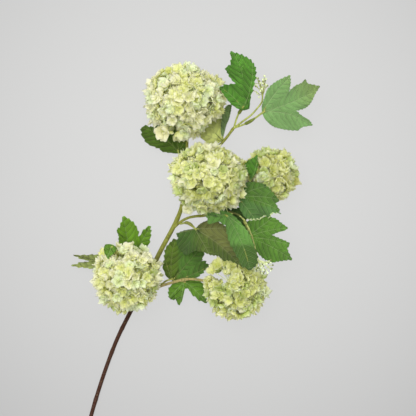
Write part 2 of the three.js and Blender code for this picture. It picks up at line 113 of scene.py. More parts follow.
def linear(red, green, blue):
    """A screen colour, 0 to 255, as a base colour."""
    def channel(value):
        share = value / 255
        return share / 12.92 if share <= 0.04045 else ((share + 0.055) / 1.055) ** 2.4
    return (channel(red), channel(green), channel(blue), 1)


def dimmed(colour, share):
    """A share of a colour's light."""
    return (*(share * part for part in colour[:3]), 1)


def piece(name, mesh, materials, slot, *nodes):
    """A finished piece of the spray, which stands for the CAD nodes that are named."""
    made = bpy.data.objects.new(name, mesh)
    for material in materials:
        mesh.materials.append(material)
    bpy.context.scene.collection.objects.link(made)
    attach(made, "root")
    if nodes:
        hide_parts(*nodes)


# ---------------------------------------------------------------- shader groups

VEIN_SPACING = 7.5              # between the side veins of a leaf
MAP_SIZE = 100                  # millimetres of leaf to one unit of its map
LEAF_THREADS = 220.0            # of the weave, to one unit of the leaf's map
PETAL_THREADS = 60.0            # to one unit of the petal's map
PETAL_LINES = 26.0              # the larger, the closer together a petal's fine lines
LEAF_GLOW, PETAL_GLOW = 0.1, 0.72       # shares of light that pass through the cloth


class Graph:
    """A node tree that is filled in order, with short calls for the nodes this spray needs."""

    def __init__(self, tree):
        self.tree = tree

    def put(self, kind, inputs=None, **settings):
        node = self.tree.nodes.new(kind)
        for name, value in settings.items():
            setattr(node, name, value)
        for name, value in (inputs or {}).items():
            self.feed(node.inputs[name], value)
        return node

    def feed(self, socket, value):
        if isinstance(value, bpy.types.NodeSocket):
            self.tree.links.new(value, socket)
        else:
            socket.default_value = value

    def math(self, operation, a, b=0.0, c=0.0):
        return self.put("ShaderNodeMath", {0: a, 1: b, 2: c}, operation=operation).outputs[0]

    def times(self, a, b):
        return self.math("MULTIPLY", a, b)

    def from_half(self, value):
        return self.math("SUBTRACT", value, 0.5)

    def off_half(self, value):
        """How far a value lies from a half."""
        return self.math("ABSOLUTE", self.from_half(value))

    def split(self, vector):
        return self.put("ShaderNodeSeparateXYZ", {0: vector}).outputs

    def step(self, value, low, high, to_low=0.0, to_high=1.0):
        inputs = {"Value": value, "From Min": low, "From Max": high, "To Min": to_low, "To Max": to_high}
        return self.put("ShaderNodeMapRange", inputs, interpolation_type="SMOOTHSTEP").outputs[0]

    def blend(self, factor, a, b):
        node = self.put("ShaderNodeMix", data_type="RGBA")
        self.feed(node.inputs[0], factor)
        self.feed(node.inputs[6], a)
        self.feed(node.inputs[7], b)
        return node.outputs[2]

    def group(self, name, inputs):
        node = self.put("ShaderNodeGroup", node_tree=bpy.data.node_groups[name])
        for key, value in inputs.items():
            self.feed(node.inputs[key], value)
        return node.outputs

    def mottle(self, place, scale, contrast):
        return self.group("mottle", {"Vector": place, "Scale": scale, "Contrast": contrast})[0]

    def weave(self, place, threads):
        return self.group("cloth weave", {"Vector": place, "Threads": threads})[0]

    def veins(self, place):
        return self.group("leaf veins", {"Vector": place, "Spacing": VEIN_SPACING / MAP_SIZE})


def shader_group(name, inputs, outputs):
    """A new node group with a vector input and the named number inputs and outputs."""
    tree = bpy.data.node_groups.new(name, "ShaderNodeTree")
    tree.interface.new_socket("Vector", in_out="INPUT", socket_type="NodeSocketVector")
    for socket_name, value in inputs.items():
        socket = tree.interface.new_socket(socket_name, in_out="INPUT", socket_type="NodeSocketFloat")
        socket.default_value = value
    for socket_name in outputs:
        tree.interface.new_socket(socket_name, in_out="OUTPUT", socket_type="NodeSocketFloat")
    graph = Graph(tree)
    return graph, graph.put("NodeGroupInput").outputs, graph.put("NodeGroupOutput").inputs


def make_cloth_weave():
    """Crossed threads of a printed cloth. Threads is how many there are to a unit."""
    graph, given, out = shader_group("cloth weave", {"Threads": 400.0}, ["Height"])
    turns = graph.times(given["Threads"], math.pi)
    warp, weft = (graph.math("ABSOLUTE", graph.math("SINE", graph.times(part, turns)))
                  for part in graph.split(given["Vector"])[:2])
    graph.feed(out["Height"], graph.times(warp, weft))


def make_mottle():
    """Soft uneven patches, from 0 to 1."""
    graph, given, out = shader_group("mottle", {"Scale": 60.0, "Contrast": 1.0}, ["Patches"])
    inputs = {"Vector": given["Vector"], "Scale": given["Scale"], "Detail": 4.0, "Roughness": 0.6}
    cloud = graph.put("ShaderNodeTexNoise", inputs).outputs[0]
    stronger = graph.times(graph.from_half(cloud), given["Contrast"])
    graph.feed(out["Patches"], graph.math("ADD", stronger, 0.5))


def make_leaf_veins():
    """Midrib, side veins and fine net of one lobe. The vector is the leaf's own map: its first
    number runs along the lobe from 0 at its base, and its second is 0.5 on the midrib."""
    names = ["Vein", "Net", "Streaks", "Painted_pleat_shade", "Relief"]
    graph, given, out = shader_group("leaf veins", {"Spacing": VEIN_SPACING / MAP_SIZE}, names)
    split = graph.split(given["Vector"])
    across = graph.off_half(split[1])
    half_midrib = graph.math("MULTIPLY_ADD", split[0], -0.006, 0.0066)
    midrib = graph.step(graph.math("DIVIDE", across, half_midrib), 0.4, 1.2, 1.0, 0.0)
    curve = graph.times(graph.math("MULTIPLY_ADD", across, 3.0, 0.6), across)
    slant = graph.math("DIVIDE", graph.math("SUBTRACT", split[0], curve), given["Spacing"])
    ladder = graph.math("FRACT", slant)
    side = graph.step(graph.off_half(ladder), 0.0, 0.09, 0.75, 0.0)
    vein = graph.math("MAXIMUM", midrib, side)
    rungs = graph.math("FRACT", graph.times(slant, 3.0))
    streaks = graph.step(graph.off_half(rungs), 0.0, 0.3, 1.0, 0.0)
    cells = {"Vector": given["Vector"], "Scale": 42.0}
    net_edge = graph.put("ShaderNodeTexVoronoi", cells, feature="DISTANCE_TO_EDGE").outputs["Distance"]
    net = graph.step(net_edge, 0.0, 0.09, 1.0, 0.0)
    # Painted shade: across each band between side veins the colour runs from dark to light, as if the puffed
    # cloth were lit from one side.
    painted_pleat_shade = graph.step(graph.math("FRACT", graph.math("ADD", ladder, 0.5)), 0.0, 0.9)
    sunk = graph.math("MULTIPLY_ADD", streaks, 0.35, graph.math("MULTIPLY_ADD", net, 0.3, vein))
    relief = graph.math("SUBTRACT", 1.0, sunk)
    for name, value in zip(names, (vein, net, streaks, painted_pleat_shade, relief)):
        graph.feed(out[name], value)


def make_petal_lines():
    """Fine lines that fan out along a petal. The vector is the petal's own map: its first
    number runs from the floret's middle outwards, and its second is 0.5 on the petal's middle."""
    graph, given, out = shader_group("petal lines", {"Lines": PETAL_LINES}, ["Lines"])
    split = graph.split(given["Vector"])
    heading = graph.math("DIVIDE", graph.from_half(split[1]), graph.math("ADD", split[0], 0.25))
    wave = graph.math("SINE", graph.times(heading, given["Lines"]))
    graph.feed(out["Lines"], graph.step(wave, 0.3, 1.0))


make_cloth_weave()
make_mottle()
make_leaf_veins()
make_petal_lines()

# ---------------------------------------------------------------- finishes


def finish(name, roughness, **constants):
    """A material with its Principled shader, and the graph and coordinates to build on."""
    material = bpy.data.materials.new(name)
    material.use_nodes = True
    graph = Graph(material.node_tree)
    surface = material.node_tree.nodes["Principled BSDF"]
    surface.inputs["Roughness"].default_value = roughness
    for key, value in constants.items():
        surface.inputs[key.replace("_", " ")].default_value = value
    return material, graph, surface, graph.put("ShaderNodeTexCoord").outputs


def bump(graph, surface, height, strength, distance):
    inputs = {"Height": height, "Strength": strength, "Distance": distance}
    graph.feed(surface.inputs["Normal"], graph.put("ShaderNodeBump", inputs).outputs[0])


def let_light_through(material, graph, surface, colour, share):
    """Thin cloth glows with the light behind it."""
    glow = graph.put("ShaderNodeBsdfTranslucent", {"Color": colour}).outputs[0]
    mixed = graph.put("ShaderNodeMixShader", {0: share, 1: surface.outputs[0], 2: glow}).outputs[0]
    output = material.node_tree.nodes["Material Output"]
    graph.feed(output.inputs["Surface"], mixed)


STREAK_DARK = linear(44, 32, 18)
FLECK_PALE = linear(186, 174, 122)
BACK_VEIN = linear(186, 192, 140)
# Near white of a petal's rim: partly the cloth's own pale edge, partly painted highlight.
PETAL_RIM_HIGHLIGHT = linear(253, 253, 242)


def stem_coating(name, foot, tip, turn_from, turn_to):
    """Matt coating on a wire, from one colour to another along Y, with streaks and flecks."""
    material, graph, surface, where = finish(name, 0.62, Specular_IOR_Level=0.2)
    place = where["Object"]
    stretched = graph.put("ShaderNodeMapping", {"Vector": place, "Scale": (1.0, 0.18, 1.0)}).outputs[0]
    streaks = graph.mottle(stretched, 900.0, 1.6)
    flecks = graph.mottle(place, 260.0, 1.4)
    ragged = graph.math("MULTIPLY_ADD", graph.from_half(flecks), 0.05, graph.split(place)[1])
    along = graph.step(ragged, turn_from, turn_to)
    plain = graph.blend(along, foot, tip)
    darker = graph.blend(graph.step(streaks, 0.35, 0.8, 0.0, 0.45), plain, STREAK_DARK)
    lighter = graph.blend(graph.step(flecks, 0.62, 0.9, 0.0, 0.2), darker, FLECK_PALE)
    graph.feed(surface.inputs["Base Color"], lighter)
    graph.feed(surface.inputs["Roughness"], graph.step(streaks, 0.2, 0.9, 0.5, 0.78))
    bump(graph, surface, streaks, 0.5, 0.0004)
    return material


def darker_and_lighter(colour, contrast):
    """Two shades of a colour, the dark and light ends of a leaf's mottle and painted shade, the further from
    it the larger the contrast.
    """
    lighter = (min((1 + 0.55 * contrast) * part + 0.004, 1) for part in colour[:3])
    return dimmed(colour, 1 - 0.3 * contrast), (*lighter, 1)


def leaf_cloth(name, colour, vein, sheen, roughness, turns=(), contrast=1.2):
    """The printed upper side of a cloth leaf: veins, a fine net, mottled green that is partly painted shade
    of folds, painted shade across each band between side veins, woven ground.
    A turn is another colour, the heading towards it and where it starts and is full."""
    material, graph, surface, where = finish(name, roughness, Sheen_Weight=sheen, Specular_IOR_Level=0.2)
    veins = graph.veins(where["UV"])
    # The large patches are partly the cloth's own uneven tone and partly painted shade of its folds.
    patches = graph.mottle(where["Object"], 48.0, 1.5)
    dark, light = darker_and_lighter(colour, contrast)
    # The painted pleat shade and the mottle together set the ground between its dark and light shades.
    painted_pleat_shades = graph.times(veins["Painted_pleat_shade"], 0.44)
    shade = graph.math("MULTIPLY_ADD", graph.step(patches, 0.25, 0.75), 0.56, painted_pleat_shades)
    ground = graph.blend(shade, dark, light)
    for second, heading, start, full in turns:
        inputs = {0: where["Object"], 1: (*heading, 0.0)}
        towards = graph.put("ShaderNodeVectorMath", inputs, operation="DOT_PRODUCT").outputs["Value"]
        ragged = graph.math("MULTIPLY_ADD", graph.from_half(patches), 0.008, towards)
        other = graph.blend(shade, *darker_and_lighter(second, contrast))
        ground = graph.blend(graph.step(ragged, start, full), ground, other)
    for mask, strength in (("Net", 0.08), ("Streaks", 0.14), ("Vein", 0.4)):
        ground = graph.blend(graph.times(veins[mask], strength), ground, vein)
    graph.feed(surface.inputs["Base Color"], ground)
    graph.feed(surface.inputs["Roughness"], graph.step(patches, 0.1, 0.9, roughness - 0.07, roughness + 0.1))
    weave = graph.weave(where["UV"], LEAF_THREADS)
    bump(graph, surface, graph.math("MULTIPLY_ADD", weave, 0.12, veins["Relief"]), 0.8, 0.0012)
    let_light_through(material, graph, surface, light, LEAF_GLOW)
    return material


def leaf_back(name, colour):
    """The plain paler underside of a cloth leaf."""
    material, graph, surface, where = finish(name, 0.72)
    vein = graph.veins(where["UV"])["Vein"]
    ground = graph.blend(graph.mottle(where["Object"], 90.0, 1.2), dimmed(colour, 0.82), colour)
    veined = graph.blend(graph.times(vein, 0.35), ground, BACK_VEIN)
    graph.feed(surface.inputs["Base Color"], veined)
    weave = graph.weave(where["UV"], LEAF_THREADS)
    bump(graph, surface, graph.math("MULTIPLY_ADD", vein, 0.6, weave), 0.4, 0.0004)
    let_light_through(material, graph, surface, colour, LEAF_GLOW)
    return material


def plain_cloth(name, colour, roughness=0.8):
    """A small cloth or flock surface with only a fine unevenness."""
    material, graph, surface, where = finish(name, roughness)
    patches = graph.mottle(where["Object"], 700.0, 1.3)
    graph.feed(surface.inputs["Base Color"], graph.blend(patches, dimmed(colour, 0.8), colour))
    bump(graph, surface, patches, 0.3, 0.0002)
    return material


def petal_cloth(name, colour, heart):
    """Sheer petal cloth, greener at the heart, near white at the rim partly as painted highlight, with
    pressed lines and a weave.
    """
    material, graph, surface, where = finish(name, 0.8, Sheen_Weight=0.1)
    lines = graph.group("petal lines", {"Vector": where["UV"], "Lines": PETAL_LINES})[0]
    weave = graph.weave(where["UV"], PETAL_THREADS)
    outwards = graph.split(where["UV"])[0]
    body = graph.blend(graph.step(outwards, 0.02, 0.36), heart, colour)
    tinted = graph.blend(graph.step(outwards, 0.34, 0.52), body, PETAL_RIM_HIGHLIGHT)
    shade = graph.blend(0.15, tinted, heart)
    sheer = tuple(mix(own, deep, 0.3) for own, deep in zip(colour, heart))
    graph.feed(surface.inputs["Base Color"], graph.blend(lines, tinted, shade))
    bump(graph, surface, graph.math("MULTIPLY_ADD", weave, 0.2, lines), 0.25, 0.0002)
    let_light_through(material, graph, surface, sheer, PETAL_GLOW)
    return material


def cut_wire():
    """The bare cut end of the wire inside the stem."""
    material, graph, surface, where = finish("cut_wire", 0.35, Metallic=1.0)
    patches = graph.mottle(where["Object"], 2500.0, 1.5)
    bare = graph.blend(patches, linear(120, 118, 112), linear(188, 186, 180))
    graph.feed(surface.inputs["Base Color"], bare)
    bump(graph, surface, patches, 0.3, 0.0001)
    return material


BROWN = linear(56, 29, 16)
OLIVE = linear(125, 129, 52)
MAUVE = linear(146, 135, 84)

# A coating ends with the metres along Y between which it goes from its first colour to its second.
STEM_COATING = stem_coating("stem_coating", BROWN, OLIVE, -0.005, 0.105)
BRANCH_COATING = stem_coating("branch_coating", MAUVE, OLIVE, 0.03, 0.09)
# The tip's coating is pale green, and dark green at its upper end near branch_right as painted shade where
# it lies among the leaves.
TIP_COATING = stem_coating("tip_coating", linear(170, 178, 104), linear(86, 94, 44), 0.112, 0.122)
PETIOLE_COATING = stem_coating("petiole_coating", linear(150, 152, 80), linear(156, 164, 84), 0.0, 0.1)
SLEEVE_COATING = stem_coating("sleeve_coating", linear(146, 148, 76), linear(104, 116, 46), 0.03, 0.2)
CUT_WIRE = cut_wire()

VEIN_GREEN = linear(152, 180, 112)
VEIN_OLIVE = linear(134, 142, 88)
# Turns of some leaves: headings are shares of X and Y, places are metres along them.
# The bent leaf's light teal ground is painted sheen; this turn makes its lower tip dark green.
BENT_TIP = (linear(48, 80, 12), (0.0, -1.0), -0.088, -0.08)
OLIVE_MIDDLE = (linear(58, 78, 18), (1.0, 0.0), 0.004, 0.02)
BROWN_HALF = (linear(86, 92, 42), (0.63, 0.78), 0.086, 0.094)
BLUE_HALF = (linear(62, 98, 42), (-0.31, -0.95), -0.157, -0.152)
TEAL_HALF = (linear(54, 90, 24), (1.0, 0.0), -0.014, -0.007)
BROWN_TIP = (linear(108, 130, 68), (0.8, 0.6), 0.26, 0.3)
# A leaf's upper side has a ground colour, a vein colour, sheen, roughness, turns and contrast, that of its
# mottle and painted shade.
LEAF_TOPS = {tint: leaf_cloth(f"leaf_{tint}_green", linear(*ground), *rest) for tint, (ground, *rest) in {
    "deep": ((60, 110, 24), VEIN_GREEN, 0.02, 0.5),
    "forest": ((52, 98, 12), VEIN_GREEN, 0.02, 0.55),
    "moss": ((58, 86, 12), VEIN_OLIVE, 0.02, 0.55),
    "soft": ((100, 138, 76), linear(170, 194, 136), 0.1, 0.5, [BROWN_TIP], 0.5),
    "mid": ((66, 106, 24), VEIN_GREEN, 0.05, 0.48),
    # the bent leaf's light teal ground is painted sheen
    "bent": ((78, 122, 46), VEIN_GREEN, 0.1, 0.46, [BENT_TIP], 0.8),
    "bright": ((88, 128, 20), VEIN_GREEN, 0.02, 0.5),
    "fresh": ((72, 110, 18), VEIN_GREEN, 0.02, 0.5),
    "olive": ((64, 88, 10), VEIN_OLIVE, 0.02, 0.55, [TEAL_HALF]),
    "dusk": ((42, 74, 14), linear(150, 156, 106), 0.05, 0.55, [OLIVE_MIDDLE, BROWN_HALF]),
    # the shaded leaf's very dark green is painted shade, for the shadow it lies in under the leaf and head
    # above it
    "shaded": ((34, 64, 14), VEIN_GREEN, 0.02, 0.55),
    "grey": ((88, 110, 66), VEIN_GREEN, 0.05, 0.55),
    "blue": ((64, 102, 26), VEIN_GREEN, 0.1, 0.48, [BLUE_HALF]),
    # the leaf behind the top head is pale green of its own, and lighter still as painted light against the
    # shadow of that head
    "pale": ((184, 192, 110), linear(202, 212, 148), 0.05, 0.62, [], 0.7),
    "faded": ((124, 136, 74), linear(164, 172, 112), 0.05, 0.62),
}.items()}
LEAF_BACK = leaf_back("leaf_underside", linear(138, 160, 98))
LEAF_RIM = plain_cloth("leaf_cut_edge", linear(170, 186, 130))

# Each petal cloth has its own colour and the greener one of its heart.
PETAL_TINTS = [petal_cloth(name, linear(*colour), linear(*heart)) for name, colour, heart in (
    ("petal_cream", (254, 253, 238), (238, 239, 184)),
    ("petal_mint", (248, 252, 232), (232, 239, 180)),
    ("petal_butter", (250, 250, 213), (233, 237, 158)),
    ("petal_lime", (238, 240, 184), (218, 222, 128)),
    ("petal_green", (228, 236, 176), (204, 216, 124)),
    ("petal_olive", (230, 230, 162), (206, 208, 110)),
    ("petal_blush", (252, 250, 230), (238, 237, 184)),
)]
CREAM, MINT, BUTTER, LIME, GREEN, OLIVE_PETAL, BLUSH = range(len(PETAL_TINTS))
THROAT = plain_cloth("floret_throat", linear(204, 212, 136))
PEDICEL = plain_cloth("floret_pedicel", linear(208, 218, 150), 0.6)
BUD_SKIN = plain_cloth("bud_skin", linear(208, 218, 168), 0.6)
BUD_PALE = plain_cloth("bud_pale", linear(216, 226, 190), 0.6)
BUD_DARK = plain_cloth("bud_dark", linear(112, 122, 62), 0.6)

# ---------------------------------------------------------------- tubes


def curve_point(points, share):
    """A point of the smooth line through the points, drawn as the CAD source draws it."""
    place = share * (len(points) - 1)
    first = min(int(place), len(points) - 2)
    step = place - first
    b, c = Vector(points[first]), Vector(points[first + 1])
    a = Vector(points[first - 1]) if first > 0 else b + (b - c)
    d = Vector(points[first + 2]) if first + 2 < len(points) else c + (c - b)
    pairs = ((a, b), (b, c), (c, d))
    span_ab, span_bc, span_cd = (max((after - before).length ** 0.5, 1e-4) for before, after in pairs)
    leave = ((b - a) / span_ab - (c - a) / (span_ab + span_bc) + (c - b) / span_bc) * span_bc
    reach = ((c - b) / span_bc - (d - b) / (span_bc + span_cd) + (d - c) / span_cd) * span_bc
    square = -3 * b + 3 * c - 2 * leave - reach
    cube = 2 * b - 2 * c + leave + reach
    return b + leave * step + square * step ** 2 + cube * step ** 3


def shade_smooth(bm):
    for face in bm.faces:
        face.smooth = True
    return bm


def ring_frames(path, radius_at, steps):
    """One matrix for each ring of a tube, from a unit circle to its place on the line."""
    frames = []
    upright = abs((Vector(path[1]) - Vector(path[0])).normalized().z) > 0.99
    across = Vector((1, 0, 0)) if upright else Vector((0, 0, 1))
    for step in range(steps + 1):
        share = step / steps
        centre = curve_point(path, share)
        ahead = curve_point(path, min(share + 1e-4, 1)) - curve_point(path, max(share - 1e-4, 0))
        along = ahead.normalized()
        across = (across - along * across.dot(along)).normalized()
        third = along.cross(across)
        radius = radius_at(share)
        turn = Matrix((across * radius, third * radius, along)).transposed().to_4x4()
        frames.append(Matrix.Translation(centre) @ turn)
    return frames


def tube(path, radius_at, sides, steps):
    """A closed smooth tube, whose end face is pushed on from ring to ring."""
    frames = ring_frames(path, radius_at, steps)
    bm = bmesh.new()
    bmesh.ops.create_circle(bm, cap_ends=True, segments=sides, radius=1)
    bmesh.ops.transform(bm, matrix=frames[0], verts=bm.verts)
    end = bm.faces[:][0]
    for before, after in zip(frames, frames[1:]):
        pushed = bmesh.ops.extrude_face_region(bm, geom=[end])["geom"]
        end = next(part for part in pushed if isinstance(part, bmesh.types.BMFace))
        bmesh.ops.transform(bm, matrix=after @ before.inverted(), verts=end.verts)
    bmesh.ops.recalc_face_normals(bm, faces=bm.faces)
    return shade_smooth(bm)


def along_radii(radii):
    """Radii given at even marks along a line, passing evenly from each to the next."""
    def radius_at(share):
        place = share * (len(radii) - 1)
        first = min(int(place), len(radii) - 2)
        return mix(radii[first], radii[first + 1], place - first)
    return radius_at


def roughen(bm, amount, size):
    """Small lumps over a surface, outwards and inwards along its normals."""
    bm.normal_update()
    for vert in bm.verts:
        vert.co += vert.normal * amount * noise.noise(vert.co / size)


def joined(shapes):
    """One shape from several. Each comes with the number of its material in the piece, or with
    None where its faces have their own."""
    whole = bmesh.new()
    for shape, material_index in shapes:
        part = bpy.data.meshes.new("part")
        if material_index is not None:
            for face in shape.faces:
                face.material_index = material_index
        shape.to_mesh(part)
        shape.free()
        whole.from_mesh(part)
        bpy.data.meshes.remove(part)
    return whole


def finished(bm, name):
    """A mesh in metres in the shared frame, nowhere below the surface."""
    for vert in bm.verts:
        vert.co.z = max(vert.co.z, LOWEST)
    bmesh.ops.transform(bm, matrix=TO_FRAME, verts=bm.verts)
    mesh = bpy.data.meshes.new(name)
    bm.to_mesh(mesh)
    bm.free()
    return mesh


# ---------------------------------------------------------------- main stem and branches

STEM_PATH = [
    (-191, -452, 2.45), (-177, -395, 2.45), (-148, -263, 2.6), (-118, -173, 3.2), (-97, -129, 4.2),
    (-62.3, -59, 7), (-33.6, 0, 10), (-28, 48, 13.5), (-26, 90, 25), (-25, 122, 42),
]
STEM_RADII = [2.4, 2.4, 2.5, 2.5, 2.7, 3, 2.7, 2.1, 1.7, 1.5]
STEM_NODES = [0.035, 0.115, 0.19, 0.245, 0.32, 0.385, 0.53, 0.64, 0.69]     # its joints, as shares
STEM_SWELLING = (0.32, 0.0045)  # height of a joint's ring, and its length as a share of the stem
STEM_SIDES, STEM_STEPS = 16, 220
RIDGE_WIDTH, RIDGE_LENGTH, RIDGE_HEIGHT = 1.6, 14, 0.1
LUMP_SIZE, LUMP_HEIGHT = 5, 0.12
COATING_THICKNESS = 0.9         # round the wire
WIRE_DEPTH = 0.3                # how far the wire is sunk into the cut foot
BRANCH_JOINTS = [0.02, 0.55, 0.97]
BRANCH_SWELLING = (0.35, 0.03)
BRANCH_SIDES, BRANCH_STEPS = 12, 14     # steps for each point of its line
BRANCH_LUMPS = (0.16, 4)        # height and size

BRANCHES = {
    "branch_lower_left": (
        [(-91, -116, 5), (-94, -107, 16), (-99, -97, 30), (-101, -88, 46)],
        [1.8, 1.7, 1.6, 1.5]),
    "branch_lower_right": (
        [(-83, -100, 5.5), (-72, -102, 11), (-50, -95, 26), (-23, -89, 35), (9, -94, 38.5), (24, -98, 39)],
        [2, 1.9, 1.8, 1.7, 1.6, 1.5]),
    "branch_right": (
        [(-54, -44, 8), (-43.5, -25.5, 18), (-26, -12.8, 33), (-2, -9, 50), (17, -6, 57), (28, -5.8, 60)],
        [1.8, 1.8, 1.7, 1.6, 1.5, 1.5]),
    "branch_right_tip": (
        [(28, -5.8, 60), (36, -7.5, 61.5), (45, -15, 63), (52, -29, 63), (57, -43.5, 62.5), (60, -58, 61)],
        [1.5, 1.2, 0.95, 0.85, 0.85, 0.9]),
    "branch_middle": (
        [(-34, 3, 10), (-25, 10, 22), (-12, 22, 36), (-3, 32, 56)],
        [1.8, 1.7, 1.6, 1.5]),
    "branch_behind": (
        [(-30, 22, 12), (-15, 28, 15), (5, 30, 19), (28, 34, 24), (62, 39.5, 32)],
        [1.8, 1.7, 1.7, 1.6, 1.5]),
    "branch_upper": (
        [(-28, 55, 15), (-19, 63, 19), (-5, 68, 26), (6, 73, 32), (15, 79, 37), (24, 89, 42), (32, 100, 46)],
        [1.8, 1.8, 1.7, 1.7, 1.7, 1.7, 1.6]),
}


def swollen(radii, joints, height, length):
    """Radii with a low ring of swelling at each joint, given as shares of the line."""
    plain = along_radii(radii)

    def radius_at(share):
        return plain(share) + sum(height * math.exp(-((share - joint) / length) ** 2) for joint in joints)
    return radius_at


def make_main_stem():
    """The stem with its joints and ridged coating, and the wire sunk into its cut foot."""
    bm = tube(STEM_PATH, swollen(STEM_RADII, STEM_NODES, *STEM_SWELLING), STEM_SIDES, STEM_STEPS)
    ends = [face for face in bm.faces if len(face.verts) == STEM_SIDES]
    wire = min(ends, key=lambda face: face.calc_center_median().y)
    bmesh.ops.inset_region(bm, faces=[wire], thickness=COATING_THICKNESS)
    bmesh.ops.inset_region(bm, faces=[wire], thickness=WIRE_DEPTH / 2, depth=-WIRE_DEPTH)
    end_verts = {vert for face in ends for vert in face.verts}
    bm.normal_update()
    for vert in bm.verts:
        if vert not in end_verts:
            x, y, z = vert.co
            ridge = noise.noise(Vector((x / RIDGE_WIDTH, y / RIDGE_LENGTH, z / RIDGE_WIDTH)))
            lump = noise.noise(vert.co / LUMP_SIZE)
            vert.co += vert.normal * (RIDGE_HEIGHT * ridge + LUMP_HEIGHT * lump)
    wire.material_index = 1
    return finished(bm, "main_stem_coating")


piece("main_stem_coating", make_main_stem(), [STEM_COATING, CUT_WIRE], "stem_brown", "main_stem")


def make_branch(name, path, radii):
    """A coated branch with a sleeve where it leaves the stem, one joint and a thicker tip."""
    radius_at = swollen(radii, BRANCH_JOINTS, *BRANCH_SWELLING)
    bm = tube(path, radius_at, BRANCH_SIDES, BRANCH_STEPS * len(path))
    roughen(bm, *BRANCH_LUMPS)
    return finished(bm, name)


for branch_name, line in BRANCHES.items():
    coating = TIP_COATING if branch_name == "branch_right_tip" else BRANCH_COATING
    name = branch_name + "_coating"
    piece(name, make_branch(name, *line), [coating], "stem_green", branch_name)

# ---------------------------------------------------------------- leaves

BLADE_THICKNESS = 0.5
BLADE_RINGS = 22
SOFTENED = 12                   # points of the edge, each way, over which the inner rings smooth it
LEAF_FOLD = 0.1                 # rise of a lobe's edge for each millimetre from its midrib
LOBE_SPREAD = 0.45              # turn over which one lobe's slope passes to the next
TOOTH_DEPTH = 0.24              # as a share of a tooth's length
TOOTH_VARIETY = (0.5, 1.4)      # depths, as shares of the usual one
TOOTH_MARKS = [(0.0, 0.0), (0.4, 0.5), (0.75, 1.0), (0.9, 0.7)]     # place along a tooth, height
TOOTH_MIDDLE = 0.3              # the height that lies on the edge itself
TEETH_FULL_AT = 25              # from the leaf's base, nearer to which teeth are shallower
GROOVE_DEPTH, GROOVE_WIDTH = 0.8, 2.2   # of the pressed midrib
PUFF_HEIGHT = 0.45              # of the cloth between side veins
SWELL_HEIGHT, SWELL_SIZE = 1.1, 17
RIPPLES = (0.9, 1.5)            # least and most height of the rippled rim
RIB_STEPS = 7
RIB_RADII = [0.65, 0.55, 0.42, 0.3]
RIB_REACH = (0.03, 0.86)        # shares of the midrib between which the rib runs
PETIOLE_RADIUS = 1.15
PETIOLE_FLARE = 0.25            # how much thicker the stalk is where it meets the blade
PETIOLE_STEP = 1.2
SLEEVE_RADIUS = 1.25
SLEEVE_HEIGHT = 0.85
USUAL_SLEEVE = (0.02, 0.27)     # shares of the stalk between which the sleeve grips it
PALE_RIM = 1.5                  # breadth of a pale rim
CLOTH_MAP = "cloth_map"
LEAF_SEED = 101

